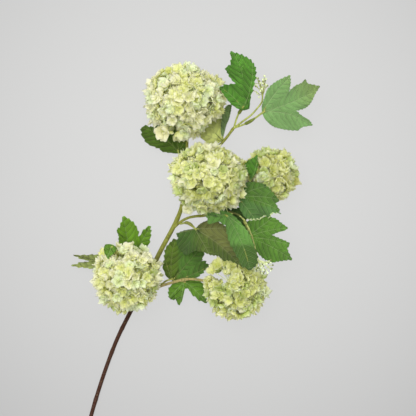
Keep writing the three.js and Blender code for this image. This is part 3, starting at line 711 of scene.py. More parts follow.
# A lobe's tip is x, y, z and how far its midrib bows to the left. The hub is a point from which
# the whole edge is in sight. The edge is a list of smooth runs, and each run ends at a corner.
# Some leaves also give the shares of the stalk that their sleeve grips, the length of a tooth,
# an arch, which is the rise of the blade's middle, or the headings, in degrees from the hub,
# between which their rim is pale.
LEAVES = {
    "leaf_top": dict(
        tint="deep", slot="leaf_dark",
        petiole=[(32, 99.5, 46), (37.4, 115.9, 48), (44.5, 127, 52)],
        base=(43.6, 123.9, 51), hub=(44.5, 149), sleeve=(0.55, 0.9),
        tips=[(29, 193.5, 74, -8), (15.5, 149, 72, -2), (55, 181, 66, -4)],
        edge=[[(53.5, 140.5), (58.5, 159), (59, 172.5), (53, 183), (41, 189.5), (28, 193.5)],
              [(29, 184), (27.5, 177), (21.5, 173.5)], [(24.5, 168), (27, 162), (36.5, 153.5)],
              [(21.5, 152.5), (14, 149)], [(22.5, 136.5), (30, 128), (43.5, 121.5), (51.5, 123.5)]]),
    "leaf_top_right": dict(
        tint="soft", slot="leaf_mid",
        petiole=[(32, 99.5, 46), (51.1, 107.2, 48), (71, 121, 51.5)],
        base=(68.2, 119.6, 51), hub=(92, 127), sleeve=(0.36, 0.68), tooth=4,
        tips=[(140.1, 150.3, 58, -3), (102.3, 163.6, 66, 2), (130.7, 102.7, 44, 6)],
        edge=[[(72, 109.5), (81, 102), (94.5, 98), (112.5, 96.5)], [(116, 100), (130.5, 103)],
              [(126, 109), (118.5, 113), (110, 121)], [(121.5, 124.5), (128, 130.5), (133, 140.5),
              (139.5, 150.5)], [(130.5, 152.5), (124, 154.5), (121.5, 159.5)], [(119, 155.5),
              (109, 151.5), (101, 144.5)], [(103, 154.5), (102.5, 164.5)], [(87, 158),
              (75, 148.5), (70.5, 137.5), (67, 128), (67, 118.5)]]),
    "leaf_top_left": dict(
        tint="moss", slot="leaf_dark",
        petiole=[(-29, 53, 14), (-35.3, 63, 16), (-38, 73.5, 16.5)],
        base=(-37.2, 70.6, 16), hub=(-53, 88),
        tips=[(-84.2, 101.8, 24, -4), (-43, 117, 4, 0), (-25.5, 92, 8, 0)],
        edge=[[(-83.5, 94.5), (-80, 85.5), (-75, 80)], [(-66.5, 76.5), (-61, 74.5), (-58, 71)],
              [(-48, 69.5), (-35.5, 68.5), (-26.5, 71)], [(-26, 79.5), (-28, 91), (-31.5, 105),
              (-40, 121)], [(-48, 114), (-58, 106), (-70.5, 102), (-79, 104.5)], [(-84, 100)]]),
    "leaf_behind_top": dict(
        tint="pale", slot="leaf_pale",
        petiole=[(19, 83, 39), (16.5, 84, 37.5), (12, 87, 34)],
        base=(15.6, 83.2, 37), hub=(4, 100.5),
        tips=[(-3.8, 121.3, 9, 0), (-10.1, 95.7, 20, 0)],
        edge=[[(16.5, 94), (16.5, 104.5), (17, 118.5), (9, 121.5), (-2.5, 123)], [(-12.5, 115),
              (-14.5, 102), (-10, 90.5)], [(0, 80.5), (10, 79.5), (18, 84.5)]]),
    "leaf_behind_fold": dict(
        tint="grey", slot="leaf_dark",
        petiole=[(20, 84, 40), (19, 85.5, 38.5), (18, 89, 37)],
        base=(17.5, 86, 37), hub=(22, 110), tooth=3,
        tips=[(29, 131.7, 30, 0)],
        edge=[[(20.5, 94), (23, 104), (26.5, 112), (29, 123), (30, 130)], [(24, 128.5),
              (19, 120.5), (16.5, 107.5), (16, 95), (18.5, 86.5)]]),
    "leaf_right_small": dict(
        tint="forest", slot="leaf_dark",
        petiole=[(40, 35.5, 27), (48.6, 31.1, 48), (52.5, 34, 66)],
        base=(52, 32.2, 66), hub=(55, 49.5), tooth=5,
        tips=[(61.2, 64.9, 71, -2), (45, 52, 68, 0)],
        edge=[[(59, 43.5), (62, 52.5), (61.5, 59.5), (61, 65.5)], [(54.5, 61), (48.5, 57.5),
              (43.5, 52)], [(47.5, 47.5), (51, 41), (52.5, 33)]]),
    "leaf_right": dict(
        tint="blue", slot="leaf_mid",
        petiole=[(22.6, 33, 22.5), (28.7, 22.5, 42), (40, 13, 60.5)],
        base=(37.2, 13.7, 60), hub=(59.5, 10), tooth=5, pale_rim=(-116, -30),
        tips=[(90.3, -3.7, 55.5, 3), (74, 27, 73, 2), (58, -13, 54.5, 0), (86, 11, 62, 2)],
        edge=[[(39, 0), (47.5, -13), (55, -15), (65, -14)], [(71, -10), (75.5, -13)], [(81, -6.5),
              (91, -7.5)], [(85, -6.5)], [(89, -3.5)], [(84, 5.5)], [(88.5, 9)], [(79.5, 20),
              (70.5, 29), (58, 32), (42.5, 32)], [(38, 23.5), (35, 13.5)]]),
    "leaf_lower": dict(
        tint="olive", slot="leaf_dark",
        petiole=[(-61, -99, 18), (-52.7, -91.7, 26), (-44, -89, 30)],
        base=(-45.2, -91.6, 30), hub=(-34, -70.5),
        tips=[(-40.9, -39, 20, 3), (1.3, -72.8, 29, -2), (-54, -64, 24, 0), (-14, -56, 27, 0)],
        edge=[[(-30, -92.5), (-15, -88), (-5, -79.5), (2, -71.5)], [(-3, -70), (-1.5, -67)],
              [(-10, -69)], [(-7, -63.5), (-4.5, -56.5)], [(-16.5, -49), (-31.5, -44),
              (-42, -38.5)], [(-48, -44), (-53.5, -52), (-54.5, -61.5), (-57, -72.5)],
              [(-52.5, -85.5), (-44, -92)]]),
    "leaf_centre": dict(
        tint="dusk", slot="leaf_dark",
        petiole=[(-35, -20, 25), (-25.1, -18.8, 33), (-14, -27.5, 38.5)],
        base=(-16.3, -26.3, 38), hub=(-1, -37.5), sleeve=(0.3, 0.85), tooth=5,
        tips=[(39.6, -71.9, 68, 4), (4, -62, 48, 0), (-39.4, -32, 36, 0), (19, -25, 54, 0)],
        edge=[[(-29, -28), (-40, -32)], [(-37.5, -37), (-39.5, -42)], [(-35, -51.5),
              (-27.5, -58.5), (-17.5, -53.5), (-6, -55), (3.5, -58.5), (13, -59.5)],
              [(19.5, -66.5)], [(25, -65), (34.5, -69), (41, -72.5)], [(39.5, -61), (35.5, -47),
              (28.5, -33.5), (22.5, -23.5), (10, -17), (-1, -16), (-10, -20), (-15.5, -25.5)]]),
    "leaf_bent": dict(
        tint="bent", slot="leaf_mid",
        petiole=[(9, -7.3, 54), (16.2, -6.2, 58), (24.5, -10, 62.5)],
        base=(22.3, -8.1, 62), hub=(23.5, -13.5), arch=5,
        tips=[(51.9, -76.6, 74, 4), (-4.3, -11.2, 60, 0), (50, -29, 66, 0)],
        edge=[[(-1, -12.5), (0.5, -19.5)], [(12.5, -16.5), (22, -21.5)], [(23, -28.5), (26, -41),
              (31.5, -52), (36.5, -62), (41.5, -71.5), (52, -77)], [(59.5, -70), (60, -57),
              (55, -43.5), (51.5, -33.5), (44.5, -23.5), (34.5, -12), (22.5, -3.5), (8.5, -1),
              (-2, -6)]]),
    "leaf_shaded": dict(
        tint="shaded", slot="leaf_dark",
        petiole=[(-2.5, -8.7, 50), (7.5, -1.5, 50), (20, -0.5, 50)],
        base=(17.4, 1.2, 50), hub=(30, -8.5),
        tips=[(52.4, -34.9, 48, 0), (21.2, -22.5, 46, 0)],
        edge=[[(22.5, -17), (37.5, -26), (53, -34.5)], [(46.5, -11), (40, -0.5)], [(23.5, 2),
              (7.5, -2)]]),
    "leaf_lower_right": dict(
        tint="mid", slot="leaf_mid",
        petiole=[(44.5, -14.5, 63), (49.8, -26.5, 58.8), (55, -35.5, 56.4)],
        base=(48.5, -36.1, 56), hub=(67, -35), tooth=5,
        tips=[(99.9, -24.8, 60, 2), (104.6, -64.8, 50, 3), (78, -14, 50, 0), (102, -46, 54, 2)],
        edge=[[(51, -31), (57, -48.5), (68, -62), (80, -68)], [(91, -66), (104.5, -64.5)],
              [(101.5, -58), (98.5, -51.5), (102, -44.5)], [(91, -39), (79, -33.5)], [(86, -31),
              (94, -29.5), (99.5, -25)], [(92, -19.5), (83.5, -13), (71, -11), (59.5, -14.5),
              (49, -16)]]),
    "leaf_hanging": dict(
        tint="fresh", slot="leaf_mid",
        petiole=[(-40, -92, 30), (-35.1, -91.6, 30.5), (-28, -93, 29)],
        base=(-30.1, -92.2, 29), hub=(-27.5, -95.5),
        tips=[(-35.2, -121.5, 20, 0), (-1.9, -120.9, 18, 2), (-48, -112, 22, 0)],
        edge=[[(-41.5, -115), (-35.5, -122.5)], [(-32.5, -112.5), (-30, -102.5), (-26, -100),
              (-21.5, -107), (-11.5, -115.5), (-2, -120)], [(-2, -112), (-5, -105), (0, -103.5)],
              [(-4.5, -95.5), (-15, -91.5), (-30, -90.5), (-41, -93), (-48.5, -100),
              (-50, -107.5), (-47.5, -115)]]),
    "leaf_left_top": dict(
        tint="bright", slot="leaf_mid",
        petiole=[(-79, -94, 5.5), (-87.3, -81, 4.5), (-98.5, -62.5, 6.8)],
        base=(-97.4, -65.7, 6), hub=(-93.5, -55.5),
        tips=[(-106, -10, 46, 0), (-72, -22.5, 34, 0)],
        edge=[[(-112, -35), (-112, -44), (-108.5, -59), (-97.5, -67.5), (-84.5, -60.5),
              (-75, -46.5), (-71.5, -31.5), (-72.5, -22.5)], [(-79, -26.5), (-84, -34),
              (-87.5, -41)], [(-87, -32), (-90.5, -21.5), (-97.5, -14.5), (-105, -10)],
              [(-107.5, -17), (-110.5, -24.5), (-114.5, -27.5)]]),
    "leaf_left_flap": dict(
        tint="fresh", slot="leaf_mid",
        petiole=[(-97.5, -98, 26), (-108, -72, 48), (-117, -50, 72), (-119.5, -47.5, 74)],
        base=(-118.5, -45.5, 73.5), hub=(-121.5, -52), tooth=5,
        tips=[(-125.5, -64.5, 82, 0)],
        edge=[[(-128.5, -50), (-127.5, -55.5), (-123, -63)], [(-120, -59), (-115.5, -55.5),
              (-112, -49.5)], [(-117.5, -45.5), (-122.5, -44.5), (-127, -45)]]),
    "leaf_left_edge": dict(
        tint="faded", slot="leaf_pale",
        petiole=[(-86, -108.7, 5), (-105, -92.4, 3), (-126, -72, 8.8)],
        base=(-123.8, -73.3, 8), hub=(-132.5, -69),
        tips=[(-168.1, -57.7, 30, 0), (-173.3, -73.5, 26, 0)],
        edge=[[(-161, -63), (-151, -65), (-145, -67)], [(-156, -67.5), (-172, -72.5)],
              [(-158.5, -74.5), (-146, -76.5), (-131, -77.5), (-121, -73.5), (-126, -63.5),
              (-137.5, -59), (-153.5, -59), (-169, -58.5)]]),
}


def apart(a, b):
    """How far apart two directions are, as the chord between them on a circle of radius 1."""
    return 2 * abs(math.sin((a - b) / 2))


class Lobe:
    """One lobe of a leaf: its heading from the leaf's base, length, slope and bowed midrib."""

    def __init__(self, base, tip):
        x, y = tip[0] - base[0], tip[1] - base[1]
        self.base = base
        self.length = math.hypot(x, y)
        self.angle = math.atan2(y, x)
        self.slope = (tip[2] - base[2]) / self.length
        self.bow = tip[3]

    def place(self, x, y):
        """How far a point lies along the lobe, and to the left of its midrib."""
        x, y = x - self.base[0], y - self.base[1]
        along = x * math.cos(self.angle) + y * math.sin(self.angle)
        across = y * math.cos(self.angle) - x * math.sin(self.angle)
        share = min(max(along / self.length, 0), 1)
        return along, across - 4 * self.bow * share * (1 - share)


def edge_run(points, base, tooth, random):
    """A smooth run of a leaf's edge from corner to corner, with small teeth towards its tip."""
    line = [(*point, 0) for point in points]
    length = sum((Vector(b) - Vector(a)).length for a, b in zip(line, line[1:]))
    teeth = max(1, round(length / tooth))
    first, last = (math.hypot(end[0] - base[0], end[1] - base[1]) for end in (line[0], line[-1]))
    outward = last > first
    for i in range(teeth):
        depth = TOOTH_DEPTH * tooth * between(*TOOTH_VARIETY, random)
        marks = TOOTH_MARKS if outward else [(1 - mark, height) for mark, height in reversed(TOOTH_MARKS)]
        for mark, height in marks:
            share = min((i + mark) / teeth, 1 - 1e-3)
            point = curve_point(line, share)
            ahead = curve_point(line, min(share + 1e-3, 1)) - curve_point(line, max(share - 1e-3, 0))
            side = Vector((ahead.y, -ahead.x, 0)).normalized()
            from_base = math.hypot(point.x - base[0], point.y - base[1])
            yield point + side * depth * (height - TOOTH_MIDDLE) * min(from_base / TEETH_FULL_AT, 1)


def leaf_outline(edge, base, tooth, random):
    """Points all along a leaf's edge, with teeth between its corners."""
    outline = []
    start = edge[-1][-1]
    for run in edge:
        outline.append(Vector((*start, 0)))
        outline += list(edge_run([start, *run], base, tooth, random))[1:]
        start = run[-1]
    return outline


class Blade:
    """The shape of a leaf's blade, worked out from its base, its lobes' tips and its edge."""

    def __init__(self, base, hub, tips, edge, seed, arch=0, tooth=7):
        self.base = Vector(base)
        self.hub = Vector((*hub, 0))
        self.lobes = [Lobe(self.base, tip) for tip in tips]
        self.arch = arch
        random = sequence(seed)
        self.phase = between(0, 2 * math.pi, random)
        self.ripple = between(*RIPPLES, random)
        spokes = [point - self.hub for point in leaf_outline(edge, base, tooth, random)]
        turns = np.unwrap([math.atan2(spoke.y, spoke.x) for spoke in spokes])
        self.angles = np.maximum.accumulate(turns) + 1e-4 * np.arange(len(turns))
        self.reaches = np.array([spoke.length for spoke in spokes])
        window = np.hanning(2 * SOFTENED + 1)
        padded = np.pad(self.reaches, SOFTENED, mode="wrap")
        self.soft_reaches = np.convolve(padded, window / window.sum(), mode="valid")

    def nearest(self, x, y):
        """The lobe that a point belongs to, and how clearly, from 0 between lobes to 1."""
        angle = math.atan2(y - self.base.y, x - self.base.x)
        by_turn = sorted((apart(angle, lobe.angle), i) for i, lobe in enumerate(self.lobes))
        clear = smooth(0, 0.16, by_turn[1][0] - by_turn[0][0]) if len(by_turn) > 1 else 1
        return self.lobes[by_turn[0][1]], clear

    def lie(self, x, y):
        """The blade's height without veins or ripples, as in the part's source."""
        x, y = x - self.base.x, y - self.base.y
        angle, reach = math.atan2(y, x), math.hypot(x, y)
        turns = [apart(angle, lobe.angle) for lobe in self.lobes]
        pulls = [math.exp(-(turn / LOBE_SPREAD) ** 2) for turn in turns]
        slope = sum(lobe.slope * pull for lobe, pull in zip(self.lobes, pulls)) / sum(pulls)
        share = min(reach / self.lobes[0].length, 1)
        rise = 4 * self.arch * share * (1 - share)
        return self.base.z + slope * reach + LEAF_FOLD * reach * math.sin(min(*turns, 1)) + rise

    def relief(self, x, y, share):
        """Groove of the midrib, cloth puffed up between side veins, and a rippled rim."""
        lobe, clear = self.nearest(x, y)
        along, across = lobe.place(x, y)
        out = abs(across)
        shallower = 1 - 0.6 * min(max(along / lobe.length, 0), 1)
        groove = -GROOVE_DEPTH * math.exp(-(out / GROOVE_WIDTH) ** 2) * shallower
        ladder = (along - 0.6 * out - 0.03 * out ** 2) / VEIN_SPACING
        puff = PUFF_HEIGHT * (abs(math.cos(math.pi * ladder)) ** 0.7 - 0.6) * smooth(1, 5, out) * clear
        turn = math.atan2(y - self.hub.y, x - self.hub.x)
        wave = math.sin(7 * turn + self.phase) + 0.6 * math.sin(13 * turn - self.phase)
        swell = SWELL_HEIGHT * noise.noise(Vector((x / SWELL_SIZE, y / SWELL_SIZE, self.phase)))
        return groove + puff + swell + self.ripple * wave * share ** 3

    def point(self, x, y, share):
        return Vector((x, y, self.lie(x, y) + self.relief(x, y, share)))


def blade_shape(blade):
    """The thin closed blade, with its upper side, cut edge and underside as materials 0, 1, 2."""
    columns = len(blade.angles)
    bm = bmesh.new()
    bmesh.ops.create_grid(bm, x_segments=columns, y_segments=BLADE_RINGS, size=0.5)
    for vert in bm.verts:
        column = round((vert.co.x + 0.5) * columns) % columns
        share = (vert.co.y + 0.5) ** 0.85
        reach = share * mix(blade.soft_reaches[column], blade.reaches[column], share ** 5)
        x = blade.hub.x + reach * math.cos(blade.angles[column])
        y = blade.hub.y + reach * math.sin(blade.angles[column])
        vert.co = blade.point(x, y, share) - Vector((0, 0, BLADE_THICKNESS))
    bmesh.ops.remove_doubles(bm, verts=bm.verts, dist=0.05)
    unders = set(bm.faces)
    pushed = bmesh.ops.extrude_face_region(bm, geom=list(bm.faces), use_keep_orig=True)["geom"]
    lifted = [part for part in pushed if isinstance(part, bmesh.types.BMVert)]
    bmesh.ops.translate(bm, vec=(0, 0, BLADE_THICKNESS), verts=lifted)
    tops = {part for part in pushed if isinstance(part, bmesh.types.BMFace)}
    bmesh.ops.recalc_face_normals(bm, faces=bm.faces)
    leaf_map = bm.loops.layers.uv.new(CLOTH_MAP)
    for face in bm.faces:
        face.material_index = 0 if face in tops else 2 if face in unders else 1
        face.smooth = face.material_index != 1
        middle = face.calc_center_median()
        lobe, _ = blade.nearest(middle.x, middle.y)
        for loop in face.loops:
            along, across = lobe.place(loop.vert.co.x, loop.vert.co.y)
            loop[leaf_map].uv = (along / MAP_SIZE, 0.5 + across / MAP_SIZE)
    return bm


def show_pale_rim(bm, blade, start_deg, end_deg):
    """Shows the pale cut cloth along the rim of the top, between two headings from the hub."""
    for face in bm.faces:
        spoke = face.calc_center_median().xy - blade.hub.xy
        heading = math.atan2(spoke.y, spoke.x)
        reach = np.interp(heading, blade.angles, blade.reaches, period=2 * math.pi)
        on_rim = spoke.length > reach - PALE_RIM
        if face.material_index == 0 and on_rim and start_deg < math.degrees(heading) < end_deg:
            face.material_index = 1


def rib_shapes(blade):
    """A thin wire rib under each lobe's midrib, sunk a little into the underside."""
    radius_at = along_radii(RIB_RADII)
    for lobe in blade.lobes:
        path = []
        for i in range(RIB_STEPS + 1):
            share = mix(*RIB_REACH, i / RIB_STEPS)
            under = BLADE_THICKNESS + 0.75 * radius_at(i / RIB_STEPS)
            along, across = share * lobe.length, 4 * lobe.bow * share * (1 - share)
            x = lobe.base.x + along * math.cos(lobe.angle) - across * math.sin(lobe.angle)
            y = lobe.base.y + along * math.sin(lobe.angle) + across * math.cos(lobe.angle)
            path.append(blade.point(x, y, 0) - Vector((0, 0, under)))
        yield tube(path, radius_at, 6, 2 * RIB_STEPS)


def petiole_shape(path):
    """The leaf's round stalk, a little thicker where it meets the blade."""
    length = sum((Vector(b) - Vector(a)).length for a, b in zip(path, path[1:]))
    steps = max(14, round(length / PETIOLE_STEP))
    return tube(path, lambda share: PETIOLE_RADIUS + PETIOLE_FLARE * smooth(0.85, 1, share), 10, steps)


def sleeve_shape(path, start, end):
    """The spindle-shaped sleeve that grips a stalk between two shares of its way."""
    way = [curve_point(path, mix(start, end, i / 6)) for i in range(7)]

    def radius_at(share):
        return SLEEVE_RADIUS + SLEEVE_HEIGHT * smooth(0, 0.14, share) * (1 - smooth(0.6, 1, share))
    return tube(way, radius_at, 12, 24)


def make_leaf(name, leaf, seed):
    """A leaf's blade, stalk, sleeve and ribs, with materials 3 and 4 on its stalk and sleeve."""
    form = {key: leaf[key] for key in ("base", "hub", "tips", "edge", "arch", "tooth") if key in leaf}
    blade = Blade(seed=seed, **form)
    sleeve = sleeve_shape(leaf["petiole"], *leaf.get("sleeve", USUAL_SLEEVE))
    cloth = blade_shape(blade)
    if "pale_rim" in leaf:
        show_pale_rim(cloth, blade, *leaf["pale_rim"])
    shapes = [(cloth, None), (petiole_shape(leaf["petiole"]), 3), (sleeve, 4)]
    shapes += [(rib, 3) for rib in rib_shapes(blade)]
    return finished(joined(shapes), name)


for number, (leaf_name, leaf) in enumerate(LEAVES.items()):
    mesh = make_leaf(leaf_name + "_cloth", leaf, LEAF_SEED + 7 * number)
    finishes = [LEAF_TOPS[leaf["tint"]], LEAF_RIM, LEAF_BACK, PETIOLE_COATING, SLEEVE_COATING]
    piece(leaf_name + "_cloth", mesh, finishes, leaf["slot"], leaf_name)

# ---------------------------------------------------------------- florets

FLORET_RADIUS = 7.9
PETAL_THICKNESS = 0.2
OUTER_PETAL = (5, 3)            # faces across and along a petal
INNER_PETAL = (3, 2)
PETAL_MAP_SIZE = 15             # millimetres of petal to one unit of its map
FLORET_VARIANTS = 8
FLORET_SEED = 900
CUPS = (0.05, 0.85)             # of the flattest and the most closed floret
THROAT_RADIUS = 0.9
STAGGER = 0.2                   # how much higher every second petal lies
# The least and the most of what differs from petal to petal.
PETAL_LENGTHS = (0.84, 1.06)    # as shares of the floret's radius
PETAL_HALF_WIDTHS = (0.5, 0.66)         # as shares of its length
PETAL_CUPS = (-0.2, 0.3)        # added to the floret's own cup
PETAL_HOLLOWS = (-0.2, 0.35)    # rise of its sides
PETAL_RUFFLES = (0.5, 1.1)
PETAL_ROLLS = (-3, 6)           # curl of its tip, forwards or back
PETAL_TILTS = (-0.15, 0.35)
# Materials of a head: its petal tints, and then these two.
THROAT_INDEX = len(PETAL_TINTS)
PEDICEL_INDEX = THROAT_INDEX + 1


def petal_shape(random, heading, cup, across, along_steps):
    """One closed petal, fanned out to a broad ruffled tip, its base near the floret's middle."""
    length = FLORET_RADIUS * between(*PETAL_LENGTHS, random)
    half_width = length * between(*PETAL_HALF_WIDTHS, random)
    cup += between(*PETAL_CUPS, random)
    hollow = between(*PETAL_HOLLOWS, random)
    ruffle = between(*PETAL_RUFFLES, random)
    roll = between(*PETAL_ROLLS, random)
    phase = between(0, 2 * math.pi, random)
    bm = bmesh.new()
    bmesh.ops.create_grid(bm, x_segments=across, y_segments=along_steps, size=0.5)
    for vert in bm.verts:
        side = 2 * vert.co.x
        share = vert.co.y + 0.5
        fan = 0.2 + 0.8 * math.sin(0.5 * math.pi * min(share / 0.66, 1)) ** 1.2
        tip = 1 - 0.2 * smooth(0.75, 1, share)
        wave = math.sin(4.4 * side + phase) + 0.7 * math.sin(7.5 * side - 2 * phase)
        along = length * (0.06 + 0.94 * share - 0.3 * share ** 3 * side ** 2 + 0.045 * share ** 2 * wave)
        lift = cup * along * share + hollow * half_width * side ** 2 * share
        lift += ruffle * share ** 2 * wave - roll * max(share - 0.6, 0) ** 2
        vert.co = (side * half_width * fan * tip, along, lift)
    bmesh.ops.solidify(bm, geom=list(bm.faces), thickness=PETAL_THICKNESS)
    petal_map = bm.loops.layers.uv.new(CLOTH_MAP)
    rim_area = 2.5 * PETAL_THICKNESS        # faces below this are those of the cut rim
    for face in bm.faces:
        face.smooth = face.calc_area() > rim_area
        for loop in face.loops:
            x, y = loop.vert.co.x, loop.vert.co.y
            loop[petal_map].uv = (y / PETAL_MAP_SIZE, 0.5 + x / PETAL_MAP_SIZE)
    tilt = Matrix.Rotation(between(*PETAL_TILTS, random), 4, "X")
    bmesh.ops.transform(bm, matrix=Matrix.Rotation(heading, 4, "Z") @ tilt, verts=bm.verts)
    return bm


def floret_shape(variant, faces):
    """A whole floret, open towards +Z: petals and a small domed throat."""
    random = sequence(FLORET_SEED + 31 * variant)
    petals = 4 if variant % 4 == 3 else 5
    cup = mix(*CUPS, variant / (FLORET_VARIANTS - 1))
    shapes = []
    for i in range(petals):
        heading = 2 * math.pi * (i + between(-0.09, 0.09, random)) / petals
        petal = petal_shape(random, heading, cup, *faces)
        bmesh.ops.translate(petal, vec=(0, 0, STAGGER * (i % 2)), verts=petal.verts)
        shapes.append((petal, 0))
    throat = bmesh.new()
    bmesh.ops.create_icosphere(throat, subdivisions=1, radius=THROAT_RADIUS)
    bmesh.ops.scale(throat, vec=(1, 1, 0.8), verts=throat.verts)
    shapes.append((shade_smooth(throat), THROAT_INDEX))
    return joined(shapes)


class Stock:
    """A small shape kept as plain arrays, to be copied many times into one mesh."""

    def __init__(self, bm):
        bm.verts.index_update()
        self.points = np.array([vert.co[:] for vert in bm.verts])
        self.faces = [[vert.index for vert in face.verts] for face in bm.faces]
        self.materials = np.array([face.material_index for face in bm.faces])
        self.smooth = np.array([face.smooth for face in bm.faces])
        layer = bm.loops.layers.uv.active
        corners = [loop[layer].uv[:] if layer else (0, 0) for face in bm.faces for loop in face.loops]
        self.map = np.array(corners)
        self.throat = sorted({vert.index for face in bm.faces for vert in face.verts
                              if face.material_index == THROAT_INDEX})
        bm.free()


class Pile:
    """Copies of small shapes, joined into one mesh."""

    def __init__(self):
        self.points, self.faces, self.materials, self.smooth, self.map = [], [], [], [], []
        self.count = 0

    def add(self, stock, points, tint):
        """A copy at the given points, whose material 0 becomes the tint."""
        self.points.append(points)
        self.faces += [[index + self.count for index in face] for face in stock.faces]
        self.materials.append(np.where(stock.materials == 0, tint, stock.materials))
        self.smooth.append(stock.smooth)
        self.map.append(stock.map)
        self.count += len(points)

    def mesh(self, name):
        """All the copies as one mesh, in metres in the shared frame."""
        mesh = bpy.data.meshes.new(name)
        points = (np.concatenate(self.points) - np.array(FOOTPRINT_CENTRE)) * MM
        mesh.from_pydata(points.tolist(), [], self.faces)
        mesh.polygons.foreach_set("material_index", np.concatenate(self.materials).astype(np.int32))
        mesh.polygons.foreach_set("use_smooth", np.concatenate(self.smooth))
        layer = mesh.uv_layers.new(name=CLOTH_MAP)
        layer.data.foreach_set("uv", np.concatenate(self.map).astype(np.float32).ravel())
        mesh.update()
        return mesh


OUTER_FLORETS, INNER_FLORETS = (
    [Stock(floret_shape(variant, faces)) for variant in range(FLORET_VARIANTS)]
    for faces in (OUTER_PETAL, INNER_PETAL))
STALK = Stock(tube([(0, 0, 0), (0, 0, 0.5), (0, 0, 1)], lambda share: 1, 3, 4))


def stalk_points(start, middle, end, radius):
    """The points of a copy of STALK, bent from start to end towards a middle point."""
    start, middle, end = np.array(start), np.array(middle), np.array(end)
    chord = Vector(end - start).normalized()
    side = np.array(chord.orthogonal().normalized())
    third = np.cross(np.array(chord), side)
    share = STALK.points[:, 2:3]
    line = (1 - share) ** 2 * start + 2 * share * (1 - share) * middle + share ** 2 * end
    return line + radius * (STALK.points[:, 0:1] * side + STALK.points[:, 1:2] * third)


# ---------------------------------------------------------------- flower heads

FLORETS_PER_AREA = 0.1          # for each square millimetre of the head's radius squared
INNER_SHARE = 0.95              # florets of the inner layer for each one outside
OUTER_DEPTHS, INNER_DEPTHS = (0.76, 0.9), (0.6, 0.74)   # of a floret's middle, as shares of the radius
OUTER_LEAN, INNER_LEAN = 0.6, 0.8
FLORET_SIZES = (0.82, 1.22)
SINKS = (0, 3, 6, 9, 12)        # how far a floret may be pushed in to clear what it touches
CLEAR_OF_SURFACE = 0.4
HUB_SHARE = 0.42                # where pedicels fork, as a share of the head's radius
HUBS = 9
PEDICEL_RADIUS = 0.45
PEDUNCLE_RADII = [1.2, 0.9, 0.7]
HUB_NUDGE, FLORET_NUDGE = 0.2, 0.16     # off their even spread over the head
BULGE = 0.06                    # unevenness of a head, as a share of its radius
LIT_SIDE = Vector((-0.62, 0.62, 0.48))  # the side that takes the first of a head's two tints

# Tints for a head's lit side are whiter and those for its far side greener, as painted light and shade.
LIT_CREAM_TINTS = [(CREAM, 0.56), (MINT, 0.27), (BUTTER, 0.15), (LIME, 0.02)]
COOL_TINTS = [(CREAM, 0.4), (MINT, 0.35), (BUTTER, 0.21), (LIME, 0.04)]
BUTTER_TINTS = [(CREAM, 0.22), (MINT, 0.13), (BUTTER, 0.36), (LIME, 0.2), (GREEN, 0.09)]
LIME_TINTS = [(CREAM, 0.04), (MINT, 0.03), (BUTTER, 0.22), (LIME, 0.4), (GREEN, 0.21), (OLIVE_PETAL, 0.1)]
INNER_TINTS = [(CREAM, 0.2), (MINT, 0.1), (BUTTER, 0.4), (LIME, 0.3)]
INNER_FRESH_TINTS = [(CREAM, 0.42), (MINT, 0.25), (BUTTER, 0.28), (LIME, 0.05)]

# The tints of a head are those of its lit side and those of its far side, and where they differ the lit
# side's are whiter, as painted light. Inner tints are those of the layer below. A stretch scales the head
# along X and Y. A gap is a round place without florets, given as x, y and radius. A placed floret is its
# place, the way it faces, its size and its tint.
BLOOMS = {
    "bloom_top": dict(
        centre=(-28, 132.5, 50), radius=50, stretch=(1.05, 0.96), seed=12, tints=(LIT_CREAM_TINTS, COOL_TINTS),
        inner=INNER_FRESH_TINTS, slot="petals", stalk_end=(-25, 122, 42),
        gaps=[(-37, 113, 4), (-39, 105, 6), (-42, 98, 5.5), (7, 104, 13), (-5, 95, 8)],
        placed=[((-56, 95, 62), (-0.2, -0.35, 1), 1.5, BLUSH)]),
    "bloom_middle": dict(
        centre=(0, 37, 82), radius=47, stretch=(1.05, 0.9), seed=23, tints=(BUTTER_TINTS, LIME_TINTS),
        slot="petals", stalk_end=(-3, 32, 56),
        placed=[((-24, -1, 84), (-0.2, -0.8, 0.8), 1.1, CREAM),
                ((32, 7, 82), (0.4, -0.6, 0.8), 1.1, CREAM)]),
    "bloom_lower_left": dict(
        centre=(-101, -86, 54), radius=44, stretch=(0.96, 0.99), seed=37, tints=(LIT_CREAM_TINTS, BUTTER_TINTS),
        slot="petals", stalk_end=(-101, -88, 46), gaps=[(-108, -64, 4.5), (-103, -77, 3.5)],
        placed=[((-131, -56, 56), (-0.6, 0.5, 0.7), 1.0, BUTTER),
                ((-109, -121, 50), (-0.1, -0.7, 0.7), 1.1, LIME)]),
    "bloom_lower_right": dict(
        centre=(35, -101.5, 39), radius=39.5, stretch=(0.99, 0.94), seed=41, tints=(LIME_TINTS, LIME_TINTS),
        slot="petals_lime", stalk_end=(24, -98, 39), gaps=[(15, -86, 9.5), (22, -91, 9), (58, -80, 6.5)],
        placed=[((6, -79, 44), (-0.5, 0.3, 1), 1.0, BUTTER), ((12, -71, 46), (-0.4, 0.5, 1), 1.1, LIME),
                ((2, -92, 42), (-0.7, 0, 1), 1.1, BUTTER), ((21, -68, 48), (-0.1, 0.6, 1), 1.0, BUTTER),
                ((4, -102, 44), (-0.7, 0, 1), 1.0, CREAM), ((30, -72, 56), (0, 0.5, 1), 1.0, LIME)]),
    "bloom_right": dict(
        centre=(76, 41, 34), radius=34.5, seed=53, tints=(LIME_TINTS, LIME_TINTS), slot="petals_lime",
        stalk_end=(62, 39.5, 32),
        placed=[((71, 56, 60), (-0.1, 0.3, 1), 1.0, LIME), ((72, 39, 62), (0, 0, 1), 1.0, BUTTER)]),
}


def spread(count, random, amount):
    """Directions spread evenly over a sphere, each nudged by an amount."""
    directions = []
    for i in range(count):
        height = 1 - (2 * i + 1) / count
        ring = math.sqrt(1 - height * height)
        turn = i * GOLDEN_ANGLE
        direction = Vector((ring * math.cos(turn), ring * math.sin(turn), height))
        directions.append((direction + nudge(random) * amount).normalized())
    return directions


